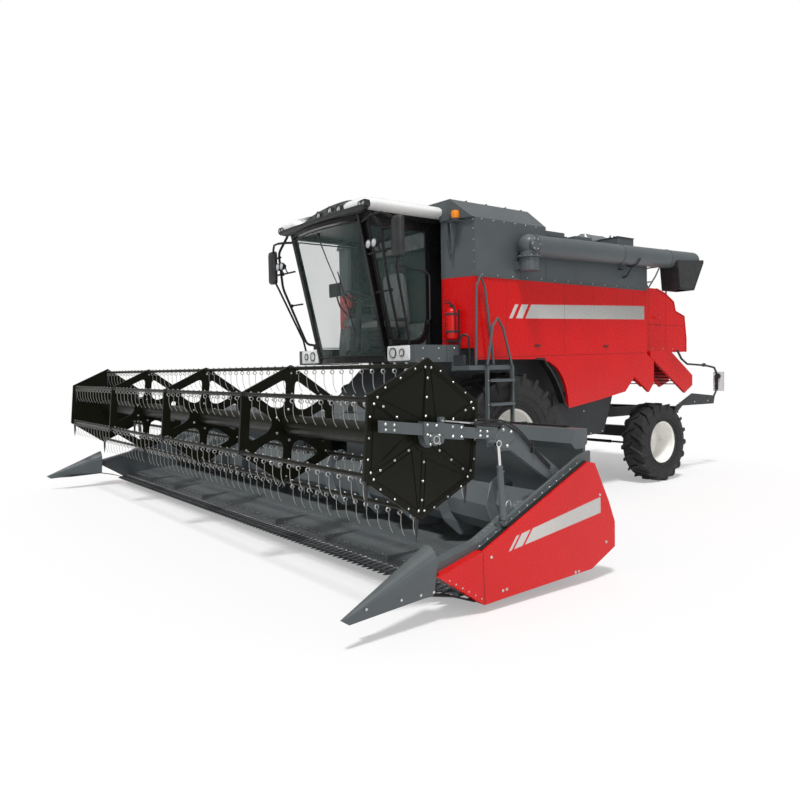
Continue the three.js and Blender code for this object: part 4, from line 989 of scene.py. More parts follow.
def ramShapes(s):
    (y0, z0), (y1, z1) = s["base"], s["eye"]
    length = math.hypot(y1 - y0, z1 - z0)
    way = Vector((0, (y1 - y0) / length, (z1 - z0) / length))
    x = s["x"]
    base = Vector((x, y0, z0))
    barrel, gland, rod = Shape(), Shape(), Shape()
    big, neck, end = s["barrelR"], s["neck"], s["barrel"]
    bore = s["rodR"] + 1.2
    barrel.lathe([(bore, neck + 20), (big - 1, neck + 20), (big, neck), (big - 6, neck - 4),
                  (s["eyeHalf"] - 3, neck - 10), (s["eyeHalf"] - 3, s["eyeR"] * 0.6)], base, way, 36)
    barrel.lathe([(bore, neck + 20), (big, neck + 20), (big, end - 30), (big - 3, end - 30),
                  (big - 3, end - 26), (big, end - 26), (big, end - 4), (big - 4, end), (bore, end),
                  (bore, neck + 20)], base, way, 36)
    barrel.ring((x, y0, z0), "x", s["eyeR"], s["pinR"] + 1, (-s["eyeHalf"], s["eyeHalf"]), 32)
    for at in (neck + 36, end - 52):
        port = base + way * at
        up = Vector((0, -way.z, way.y)) * (1 if way.y > 0 else -1)
        barrel.lathe([(big * 0.28, big * 0.9), (big * 0.28, big + 16), (0, big + 16)], port, tuple(up), 12)
    gland.lathe([(big - 8, end), (big - 8, end + 3), (bore + 3, end + 3), (bore, end), (big - 8, end)],
                base, way, 30)
    rod.lathe([(s["rodR"], length - s["rod"]), (s["rodR"], length - s["eyeR"] * 0.7)], base, way, 30)
    rod.ring((x, y1, z1), "x", s["eyeR"], s["pinR"] + 6, (-s["eyeHalf"], s["eyeHalf"]), 32)
    return barrel, gland, rod


def makeRams():
    barrel, gland, rod = ramShapes(ramSet["head"])
    s = ramSet["head"]
    half = s["x"]
    barrel.both()
    barrel.tube([(-half - 64, *s["base"]), (half + 64, *s["base"])], s["pinR"] - 0.3, 24)
    barrel.make("liftBarrelSkins", "darkGrey", "lift_barrels", "dark", standsFor=["lift_barrels"])
    gland.both().make("liftGlands", "zinc", "lift_barrels", "steel")
    rod.both()
    rod.tube([(-half - 54, *s["eye"]), (half + 54, *s["eye"])], s["pinR"] - 0.3, 24)
    rod.make("liftRodSkins", "chrome", "lift_rods", "steel", standsFor=["lift_rods"])
    barrel, gland, rod = ramShapes(ramSet["reel"])
    for side, low, hand in sideNames:
        barrel.on(hand).make("reelRamBarrel" + side, "grey", "reel_lift_barrels", "dark",
                             standsFor=["reel_lift_barrel_" + low])
        gland.on(hand).make("reelRamGland" + side, "brassy", "reel_lift_barrels", "steel")
        rod.on(hand).make("reelRamRod" + side, "chrome", "reel_lift_rods", "steel",
                          standsFor=["reel_lift_rod_" + low])


makeRams()
print("arms and rams ready")


# header: knife, dividers, auger fingers and end panels
headerSet = {"half": 4000, "pitch": 76.2, "panel": 4170.3, "augerY": -1450, "augerZ": 545}


def makeHeader():
    s = headerSet
    fingers, blades, bolts = Shape(), Shape(), Shape()
    guard = Shape()
    rings = []
    for y, wide, low, high in ((-2352, 15, 100, 134), (-2400, 14, 98, 136), (-2440, 11, 99, 134),
                               (-2490, 6, 102, 122), (-2524, 1.5, 107, 112)):
        rings.append([(-wide, y, low), (wide, y, low), (wide, y, high), (-wide, y, high)])
    guard.skin(rings)
    one = Shape().prism([(-36, -2395), (-36, -2425), (-7, -2478), (7, -2478), (36, -2425), (36, -2395)],
                        (118, 121.5), "z")
    x = -s["half"] + 46
    while x < s["half"] - 30:
        fingers.copy(guard, (x, 0, 0))
        blades.copy(one, (x + 20, 0, 0))
        bolts.bolt((x, -2372, 136), "z", 14, 8)
        bolts.bolt((x + 38, -2372, 130), "z", 10, 6)
        x += s["pitch"]
    fingers.make("knifeGuards", "darkGrey", "header", "dark", bevel=1.5)
    blades.make("knifeSections", "polished", "header", "steel")
    wear = Shape()
    for y0, y1, z0, z1 in ((-2345, -2210, 137, 149), (-1905, -1890, 190, 192)):
        wear.prism([(y0, z0 - 3), (y1, z1 - 2), (y1, z1 + 2), (y0, z0 + 1)], (-s["half"], s["half"]))
    x = -s["half"] + 90
    while x < s["half"]:
        bolts.bolt((x, -2225, 150), "z", 12, 5)
        x += 152.4
    for y, z in ((-1900, 192), (-1250, 264)):
        wear.tube([(-s["half"], y, z), (s["half"], y, z)], 4, 6)
    for x in (-3000, -2000, -1000, 1000, 2000, 3000):
        wear.box((x - 3, x + 3), (-2330, -1920), (136, 190))
    wear.make("tableSeams", "polished", "header", "grey")
    # ribs and stiffeners behind the back sheet
    back = Shape()
    for x in np.arange(-3900, 3901, 650):
        if abs(x) > 640:
            back.prism([(-1050, 1120), (-1075, 1120), (-1075, 420), (-1120, 380), (-1095, 330),
                        (-1030, 420)], (x - 6, x + 6))
    for hand in (-1, 1):
        back.box(span(hand, 600, 3990), (-1075, -1046), (700, 760))
        back.box(span(hand, 600, 640), (-1075, -1030), (330, 1130))
    back.make("backRibs", "grey", "header", "grey", bevel=2)
    # row of bolts on the back beam and the auger's stripper bar
    strip = Shape().box((-3930, 3930), (-1132, -1108), (560, 585))
    strip.make("stripperBar", "darkGrey", "header", "dark", bevel=1.5)
    for x in np.arange(-3900, 3901, 300):
        bolts.bolt((x, -1201, 1160), (0, -1, 0), 16, 8)
        bolts.bolt((x, -1132, 572), (0, -1, 0), 14, 7)
    # ends: ledge rails, latch, seam and edge folds
    trim, dark, chromed = Shape(), Shape(), Shape()
    seam = [(-2335, 444), (-2331, 446), (-2318, 62), (-2322, 62)]
    x0 = s["panel"]
    dark.prism(seam, (x0 - 71, x0 + 0.6))
    p, q = Vector((-2330, 450)), Vector((-1160, 985))
    n = Vector((-(q - p).y, (q - p).x)).normalized()
    trim.prism([tuple(p), tuple(q), tuple(q + n * 9), tuple(p + n * 9)], (4101, 4112))
    dark.prism([tuple(p + n), tuple(q + n), tuple(q + n * 5), tuple(p + n * 5)], (4112, 4150))
    for y, z in ((-2140, 132), (-2100, 134), (-1330, 118), (-1290, 120), (-1020, 700), (-2250, 395),
                 (-940, 300)):
        bolts.bolt((x0 - 0.3, y, z), "x", 16, 8)
    for y in np.arange(-2650, -2320, 60):
        bolts.bolt((x0 - 0.3, y, 300 - (y + 2650) * 0.62), "x", 8, 4)
    for share in np.linspace(0.06, 0.94, 12):
        y = -2300 + share * 500
        bolts.bolt((4036, y, 500 + (y + 2300) * 0.474), (0, -0.43, 0.9), 12, 6)
    # grey channel that carries the end panel's top edge, and the screws on it
    trim.prism([(-2745, 352), (-2332, 462), (-1168, 996), (-1168, 1010), (-2334, 478), (-2745, 368)],
               (4072, 4101))
    for share in np.linspace(0.03, 0.97, 14):
        y = -2330 + share * 1150
        bolts.bolt((4101, y - 6, 455 + (y + 2330) * 0.459), "x", 12, 6)
    trim.box((4020, 4066), (-1985, -1905), (648, 700))
    chromed.tube(rounded([(4043, -1975, 700), (4043, -1965, 742), (4043, -1925, 752), (4043, -1915, 700)],
                         16), 5, 10)
    # divider: skid, side sheet seams and screws
    for y, z, x in ((-3340, 250, 4170), (-3060, 250, 4166), (-2900, 250, 4168), (-2790, 250, 4170)):
        bolts.bolt((x, y, z), (1, -0.1, 0), 13, 6)
    skid = Shape()
    rings = []
    for y, z, w in ((-3350, 186, 10), (-3200, 182, 24), (-2760, 196, 42), (-2560, 150, 44),
                    (-2360, 74, 44), (-2100, 62, 44)):
        rings.append([(4062 - w, y, z), (4062 + w, y, z), (4062 + w, y, z + 9), (4062 - w, y, z + 9)])
    skid.skin(rings)
    skid.box((4050, 4120), (-2752, -2735), (215, 420))
    bodies = {"headerTrim": (trim, "grey", 1.5), "panelGaps": (dark, "dark", 0),
              "latch": (chromed, "zinc", 0), "dividerSkid": (skid, "darkGrey", 2)}
    for name, (shape, finish, bevel) in bodies.items():
        shape.both().make(name, finish, "header", "grey", bevel)
    bolts.both().make("headerBolts", "zinc", "header", "steel")
    # hoses and multi-coupler on the beam
    hoses = Shape()
    for k in range(4):
        x = 620 + k * 26
        hoses.tube(rounded([(x, -1135, 1241), (x, -1130, 1330 + k * 8), (x + 60, -1080, 1370 + k * 8),
                            (x + 240, -1060, 1290), (x + 520, -1060, 1262)],
                           80), 9, 10)
    for k in range(2):
        hoses.tube([(1100, -1070 - 24 * k, 1252), (2500, -1066 - 24 * k, 1250),
                    (3900, -1070 - 24 * k, 1252)], 8, 10)
    hoses.make("headerHoses", "rubber", "header", "rubber")
    block = Shape().box((590, 730), (-1170, -1090), (1240, 1262))
    for x in np.arange(1150, 3900, 450):
        block.box((x - 12, x + 12), (-1106, -1050), (1240, 1266))
    block.make("hoseClips", "darkGrey", "header", "dark", bevel=2)
    # drive shaft guard and chain cover on the left end
    cover = Shape()
    cover.prism(softOutline([(-1640, 420), (-1230, 380), (-1130, 620), (-1180, 900), (-1330, 930),
                             (-1600, 650)], 70), (4030, 4069))
    cover.make("driveCover", "grey", "header", "grey", bevel=4)
    # retracting fingers between the flights, on the auger
    rods, cups = Shape(), Shape()
    for k, x in enumerate(np.linspace(-470, 470, 9)):
        for turn in (k * 1.9, k * 1.9 + math.pi):
            a = Vector((x, s["augerY"] + 198 * math.sin(turn), s["augerZ"] + 198 * math.cos(turn)))
            b = Vector((x, s["augerY"] + 296 * math.sin(turn), s["augerZ"] + 296 * math.cos(turn)))
            rods.tube([a, b], 7.5, 10)
            cups.disc(a, tuple(b - a), 22, (-4, 10), 14, 3)
    rods.make("augerFingers", "polished", "table_auger", "steel")
    cups.make("fingerCups", "plastic", "table_auger", "dark")
    ringed = Shape()
    for x in (-3942, -2000, 2000, 3936):
        ringed.ring((x, s["augerY"], s["augerZ"]), "x", 204, 199, (0, 8), 40)
    ringed.make("augerBands", "grey", "table_auger", "grey")


makeHeader()
print("header ready")

# body panels, tank and deck
bodySet = {"panelX": 1500, "deck": 3450}


def makePanels():
    gaps, lips, bolts, rubber = Shape(), Shape(), Shape(), Shape()
    x = bodySet["panelX"]
    # hairline seams between the sheets
    for y0, z0, y1, z1 in ((1730, 2362, 1730, 2848), (1730, 1880, 1730, 2362), (2330, 2560, 2330, 2848),
                           (2850, 2580, 2850, 2848), (3230, 2600, 3230, 2848)):
        gaps.box((x - 6, x + 0.5), (y0 - 1.5, y1 + 1.5), (z0, z1))
    gaps.prism([(135, 1869), (3555, 1930), (3555, 1934), (135, 1873)], (x - 6, x + 0.5))
    gaps.prism([(640, 2848), (643, 2848), (643, 1852), (640, 1852)], (x - 6, x + 0.5))
    # folded lip between the red panels and the grey tank
    lips.prism([(120, 2842), (3560, 2842), (3560, 2856), (120, 2856)], (x, x + 12))
    for y in np.arange(240, 3500, 260):
        bolts.bolt((x + 2, y, 2875), "x", 13, 6)
    for z in (2900, 3020, 3150, 3280, 3410, 3520):
        bolts.bolt((1478, 120 + (3546 - z) * 0.02, z), (0.4, -0.9, 0), 12, 6)
    for y in (900, 1370):
        gaps.box((x - 6, x + 0.6), (y - 2, y + 2), (2860, 3440))
    lips.box((x - 2, x + 8), (1390, 3560), (3442, 3454))
    # rubber moulding round the wheel arch
    arch = [(1170, 1856),
            (1330, 1852)] + [(1180 + 580 * t + 60 * t * (1 - t),
                              1850 - 660 * t ** 1.35 + 330 * t * (1 - t))
                             for t in np.linspace(0.3, 0.94, 9)]
    path = [(x - 6, y, z) for y, z in arch] + [(x - 6, 1790, 1196)]
    rubber.tube(path, [14] * len(path), 12)
    wide = [[(x - 100, y - 6, z - 4), (x + 4, y - 6, z - 4), (x + 4, y + 8, z + 12),
             (x - 100, y + 8, z + 12)] for y, z in arch]
    rubber.skin(wide)
    parts = {"panelSeams": (gaps, "dark"), "panelLips": (lips, "grey"), "panelBolts": (bolts, "zinc"),
             "archMoulding": (rubber, "rubber")}
    for name, (shape, finish) in parts.items():
        shape.both().make(name, finish, "root", "steel" if finish == "zinc" else "grey")
    # handles and lower latches
    latch = Shape()
    for y in (1200, 2600):
        latch.box((x, x + 7), (y - 50, y + 50), (2010, 2036))
        latch.box((x + 7, x + 16), (y - 40, y + 6), (2014, 2032))
    latch.both().make("panelLatches", "plastic", "root", "black", bevel=2)


makePanels()


tankSet = {"top": 3790, "half": 1210, "front": -5, "rear": 1355}


def makeTank():
    top, half, front, rear = (tankSet[k] for k in ("top", "half", "front", "rear"))
    rim, bolts, auger = Shape(), Shape(), Shape()
    for y in (front + 12, rear - 12):
        rim.box((-half, half), (y - 12, y + 12), (top - 22, top + 2))
    for hand in (-1, 1):
        rim.box(span(hand, half - 24, half), (front, rear), (top - 22, top + 2))
        rim.prism([(-6, 3560), (14, 3560), (14, top - 4), (-6, top - 4)], span(hand, half - 30, half - 10))
    rim.make("tankRim", "grey", "root", "grey", bevel=3)
    # lids that close the tank, hinged along the sides and held a little open
    for hand, name in ((1, "Left"), (-1, "Right")):
        lid = Shape()
        path = [(hand * (half - 30), top + 3), (hand * 40, top - 62)]
        rings = []
        for x, z in path:
            rings.append([(x, 290, z), (x, rear - 70, z), (x, rear - 70, z + 5), (x, 290, z + 5)])
        lid.skin(rings)
        for y in (300, 640, 980, 1270):
            lid.skin([[(x, y - 4, z + 5), (x, y + 4, z + 5), (x, y + 4, z + 22), (x, y - 4, z + 22)]
                      for x, z in path])
        lid.make("tankLid" + name, "darkGrey", "root", "grey", bevel=1)
    # folded extension sheet seams and bolts on the sloping sides
    for hand in (-1, 1):
        for y in (300, 700, 1100):
            bolts.bolt((hand * 1320, y, 3688), (hand * 0.6, 0, 0.8), 13, 6)
        for y in np.arange(240, 1380, 190):
            bolts.bolt((hand * 1500, y, 3530), (hand, 0, 0), 12, 6)
    bolts.make("tankBolts", "zinc", "root", "steel")
    auger.tube([(0, 980, 2950), (0, 900, 3560)], 70, 24)
    auger.lathe([(92, -8), (96, 0), (96, 18), (70, 22)], (0, 905, 3540), (0, -0.13, 0.99), 24)
    auger.make("fillAuger", "polished", "root", "steel")
    # cover of the cross auger on the floor of the hold
    roofing = Shape().prism([(520, 2905), (760, 3010), (1000, 2905)], (-1180, 1180))
    roofing.make("augerCover", "grey", "root", "grey", bevel=3)


makeTank()


def makeDeck():
    deck = bodySet["deck"]
    box, dark, bolts, mesh = Shape(), Shape(), Shape(), Shape()
    # engine lids with raised folds
    for x0, x1, y0, y1 in ((-1440, -620, 1790, 2560), (-1440, -620, 2620, 3520), (-560, 820, 2620, 3520)):
        box.box((x0, x1), (y0, y1), (deck, deck + 14))
        box.box((x0 + 60, x1 - 60), (y0 + 60, y1 - 60), (deck + 14, deck + 24))
        for x in (x0 + 26, x1 - 26):
            for y in (y0 + 26, (y0 + y1) / 2, y1 - 26):
                bolts.bolt((x, y, deck + 14), "z", 16, 8)
    for y in np.arange(2700, 3460, 90):
        dark.box((-420, 620), (y, y + 38), (deck + 22, deck + 25))
    box.box((1040, 1380), (3040, 3420), (deck, deck + 150))
    box.box((1030, 1390), (3030, 3430), (deck + 150, deck + 162))
    box.box((1080, 1300), (2200, 2560), (deck, deck + 96))
    mesh.box((-500, 900), (1800, 2492), (3611, 3614))
    frameBars = Shape()
    for x in (-500, -30, 440, 896):
        frameBars.box((x - 8, x + 8), (1792, 2496), (3610, 3622))
    for y in (1796, 2144, 2492):
        frameBars.box((-508, 908), (y - 8, y + 8), (3610, 3622))
    box.make("deckLids", "grey", "root", "grey", bevel=4)
    dark.make("deckLouvres", "dark", "root", "dark")
    mesh.make("screenMesh", "mesh", "root", "dark")
    frameBars.make("screenFrame", "darkGrey", "root", "dark", bevel=2)
    bolts.make("deckBolts", "zinc", "root", "steel")
    # silencer: ribbed drum, bands and a swept tail
    drum = Shape()
    z = deck + 130
    drum.lathe([(0, 2752), (60, 2753), (96, 2760), (105, 2772)] + [(105 + 2.5 * (k % 2), 2790 + 12 * k)
                                                                   for k in range(37)] +
               [(105, 3250), (98, 3270), (52, 3281)], (950, 0, z), "y", 48)
    tail = rounded([(950, 3270, z), (950, 3420, z + 10), (950, 3500, z + 120)], 70, 8)
    drum.tube(tail, 50, 32)
    neck = [(950, 2766, z - 4), (940, 2640, z - 20), (850, 2560, z - 90)]
    drum.tube(rounded(neck, 60, 6), 46, 28)
    for y in (2870, 3190):
        drum.ring((950, y, z), "y", 111, 103, (0, 24), 40)
        drum.box((920, 980), (y - 8, y + 32), (deck, z - 96))
    drum.make("silencerSkin", "exhaust", "root", "steel", standsFor=["silencer"])
    # guard rail and steps at the back of the deck
    rail = Shape()
    for x in (560, 900):
        rail.tube(rounded([(x, 4487, 2985), (x, 4700, 3200), (x, 4820, 3368), (x, 4990, 3035),
                           (x, 4990, 2890)], 50), 13, 12)
    rail.tube([(560, 4820, 3360), (900, 4820, 3360)], 13, 12)
    rail.tube([(560, 4600, 3100), (900, 4600, 3100)], 11, 12)
    rail.make("deckRail", "grey", "root", "grey")


makeDeck()


tailSet = {
    "profile": [(4640, 2985), (4880, 2920), (5130, 2790), (5180, 2640), (5440, 2560), (5500, 2180),
                (5500, 1962)],
    "ribs": (-946, -480, 0, 480, 946),
    "side": 950,
    "lamp": 1240,
}


def makeTail():
    s = tailSet
    # straw hood: ribs, lids and hinges; louvres beneath; lamps and striped boards
    ribs, gaps, bolts = Shape(), Shape(), Shape()
    for x in s["ribs"]:
        rings = []
        for y, z in s["profile"]:
            rings.append([(x - 16, y - 2, z - 2), (x + 16, y - 2, z - 2), (x + 12, y + 5, z + 6),
                          (x - 12, y + 5, z + 6)])
        ribs.skin(rings)
    for hand in (-1, 1):
        x = hand * s["side"]
        near = sorted((x, x + hand * 1))
        for y in (3960, 4420):
            gaps.box(near, (y - 2, y + 2), (1990, 2980))
        gaps.box(near, (3620, 5440), (2398, 2402))
        gaps.box(near, (4900, 4904), (1990, 2880))
        for y in np.arange(3660, 5400, 290):
            bolts.bolt((x, y, 2010), (hand, 0, 0), 14, 7)
        grip = rounded([(x, 4560, 2520), (x + hand * 40, 4560, 2520), (x + hand * 40, 4720, 2520),
                        (x, 4720, 2520)], 16)
        ribs.tube(grip, 8, 10)
        ribs.prism([(3606, 2700), (3606, 2848), (3760, 2848)], sorted((x, x + hand * 240)))
    ribs.make("hoodRibs", "red", "root", "red", bevel=2)
    gaps.make("hoodSeams", "dark", "root", "dark")
    bolts.make("hoodBolts", "zinc", "root", "steel")
    louvres = Shape()
    for k in range(9):
        y = 3840 + k * 95
        z = 1850 - k * 52
        louvres.prism([(y, z), (y + 80, z + 10), (y + 82, z + 14), (y, z + 6)], (-1380, 1380))
    louvres.make("sieveLouvres", "darkGrey", "root", "dark")
    lips = Shape()
    lips.prism([(3762, 1868), (4684, 1300), (4690, 1308), (3766, 1878)], (1394, 1434))
    for y, z in ((3900, 1830), (4100, 1800), (4300, 1700), (4500, 1560), (4700, 1450), (4840, 1480)):
        lips.bolt((1430, y, z), "x", 14, 7)
    lips.both().make("deflectorFolds", "red", "root", "red", bevel=1.5)
    boards, stripes, lamps, ambers, clamps = Shape(), Shape(), Shape(), Shape(), Shape()
    boards.box((1146, 1334), (6013, 6018), (1286, 1614))
    for k in range(4):
        z = 1300 + k * 80
        corners = [(1150, z), (1330, z + 60), (1330, z + 95), (1150, z + 35)]
        stripes.prism([(a, min(b, 1608)) for a, b in corners], (6034.5, 6036), "y")
    lamps.lathe([(42, 0), (46, 4), (46, 10), (30, 14), (0, 15)], (s["lamp"], 6024, 1540), "y", 28)
    ambers.lathe([(36, 0), (38, 3), (36, 10), (0, 14)], (s["lamp"], 6025, 1440), "y", 24)
    clamps.ring((1215, 5600, 1735), "y", 30, 18, (-20, 20), 16)
    clamps.box((1190, 1240), (5992, 6016), (1310, 1560))
    for shape, name, finish in ((boards, "lampBoards", "white"), (stripes, "boardStripes", "redLens"),
                                (lamps, "tailLamps", "redLens"), (ambers, "tailSignals", "amber"),
                                (clamps, "boardClamps", "darkGrey")):
        shape.both().make(name, finish, "root", "red" if "Lens" in finish else "grey")
    plates = Shape()
    for y in (4860, 5300, 5700):
        plates.bolt((1225, y, 1130), "x", 18, 9)
    plates.both().make("tailBolts", "zinc", "root", "steel")


makeTail()
print("body ready")


# cab
cabSet = {
    "half": 762, "halfTop": 790, "frontY": -637, "frontTopY": -1035, "floorZ": 1840.3, "topZ": 3560,
    "bulge": 110,
}


def pillarAt(z):
    s = cabSet
    share = (z - s["floorZ"]) / (s["topZ"] - s["floorZ"])
    x = s["half"] + share * (s["halfTop"] - s["half"])
    return x, s["frontY"] + share * (s["frontTopY"] - s["frontY"])


def screenAt(across, z):
    x, y = pillarAt(z)
    return across * (x - 24.5), y - 20 - cabSet["bulge"] * (1 - across * across), z


def makeScreen():
    glass, seal = Shape(), Shape()
    low, high = 1915, 3496
    rings = []
    for z in np.linspace(low, high, 15):
        outer = [screenAt(-1 + 2 * k / 28, z) for k in range(29)]
        inner = [(x, y + 8, zz) for x, y, zz in reversed(outer)]
        rings.append(outer + inner)
    glass.skin(rings)
    glass.make("windscreenPane", "glass", "root", "glass", standsFor=["windscreen"])
    for z in (low + 10, high - 8):
        seal.tube([Vector(screenAt(-1 + 2 * k / 28, z)) + Vector((0, -1, 0)) for k in range(29)], 10, 8)
    for across in (-1, 1):
        seal.tube([Vector(screenAt(across, z)) + Vector((across * 2, -3, 0))
                   for z in np.linspace(low, high, 12)], 11, 8)
    # wiper: motor, arm and blade
    wiper = Shape()
    foot = Vector(screenAt(0.05, 3440)) + Vector((0, -30, 0))
    tip = Vector(screenAt(0.42, 2560)) + Vector((0, -26, 0))
    wiper.tube([foot + Vector((0, 34, 0)), foot + Vector((0, -8, 0))], 16, 14)
    wiper.tube([foot, foot.lerp(tip, 0.4) + Vector((0, -10, 0)), tip], [9, 7, 5], 8)
    blade = ((0.36, 2960), (0.42, 2560), (0.48, 2160))
    wiper.tube([Vector(screenAt(across, z)) + Vector((0, -14, 0)) for across, z in blade], 7, 6)
    wiper.make("wiper", "rubber", "root", "black")
    # door glass seal, drawn round its opening, on the door
    doorSeal, grips = Shape(), Shape()
    y1 = pillarAt(2052)[1]
    y2 = pillarAt(3490)[1]
    loop = [(y1 + 62, 2102), (y2 + 62, 3442), (-108, 3442), (-108, 2420), (-150, 2220), (-290, 2102)]
    path = rounded([(849, *p) for p in loop + [loop[0]]], 60, 5)
    doorSeal.tube(path[:-1], 8, 8, shut=True)
    grips.tube(rounded([(866, -560, 3010), (905, -560, 3004), (905, -130, 2940), (905, -88, 2900),
                        (905, -88, 2360), (866, -88, 2330)], 55, 6), 12, 14)
    grips.box((862, 872), (-590, -540), (2985, 3035))
    grips.box((862, 872), (-110, -66), (2300, 2360))
    grips.box((862, 892), (-560, -430), (2330, 2370))
    grips.tube(rounded([(880, -575, 2350), (905, -575, 2350), (905, -440, 2350), (880, -440, 2350)], 14,
                       4), 8, 10)
    doorSeal.make("doorSeal", "rubber", "cab_door", "rubber")
    grips.make("doorGrips", "plastic", "cab_door", "black")
    loop = [(pillarAt(2080)[1] + 50, 2060), (pillarAt(3490)[1] + 50, 3480), (-42, 3480), (-42, 2060)]
    seal.tube(rounded([(-816, *p) for p in loop + [loop[0]]], 60, 5)[:-1], 9, 8, shut=True)
    loop = [(-726, 2366), (-726, 3288), (726, 3288), (726, 2366)]
    seal.tube(rounded([(x, 154, z) for x, z in loop + [loop[0]]], 50, 5)[:-1], 9, 8, shut=True)
    seal.make("cabSeals", "rubber", "root", "rubber")


makeScreen()


roofSet = {
    "half": 1062, "arch": 600, "archLow": 3620, "archTop": 3866, "archFront": -1062, "lean": 0.9,
    "lampZ": (3732, 3756, 3732), "lampX": (-240, 0, 240),
}


def archHalf(z, grow=0):
    # half width of the arched opening at a height
    share = min(1, max(0, (z - roofSet["archLow"]) / (roofSet["archTop"] + grow - roofSet["archLow"])))
    return (roofSet["arch"] + grow) * math.sqrt(max(0, 1 - share ** 3.2))


def archPlane(z):
    return roofSet["archFront"] + roofSet["lean"] * max(0, z - roofSet["archLow"])


def roofRing(halfX, front, rear, z, bend, bow):
    outline = softOutline([(-halfX, front), (halfX, front), (halfX, rear), (-halfX, rear)], bend, 7)
    ring = []
    for (x, y), (x2, y2) in zip(outline, outline[1:] + outline[:1]):
        long = abs(y - front) < 1 and abs(y2 - front) < 1 and abs(x2 - x) > 300
        steps = 40 if long else 1
        for k in range(steps):
            ax, ay = x + (x2 - x) * k / steps, y + (y2 - y) * k / steps
            if ay < front + 200:
                ay -= bow * (1 - (ax / halfX) ** 2)
            if ay < front + 220 and abs(ax) < archHalf(z):
                ay = max(ay, archPlane(z) + 26)
            ring.append((ax, ay, z))
    return ring


def archOutline(grow, lift=0):
    s, outline = roofSet, []
    for k in range(25):
        turn = math.pi * k / 24
        x = (s["arch"] + grow) * math.cos(turn)
        z = s["archLow"] + (s["archTop"] + lift - s["archLow"]) * math.sin(turn) ** 0.62
        outline.append((x, z))
    return outline


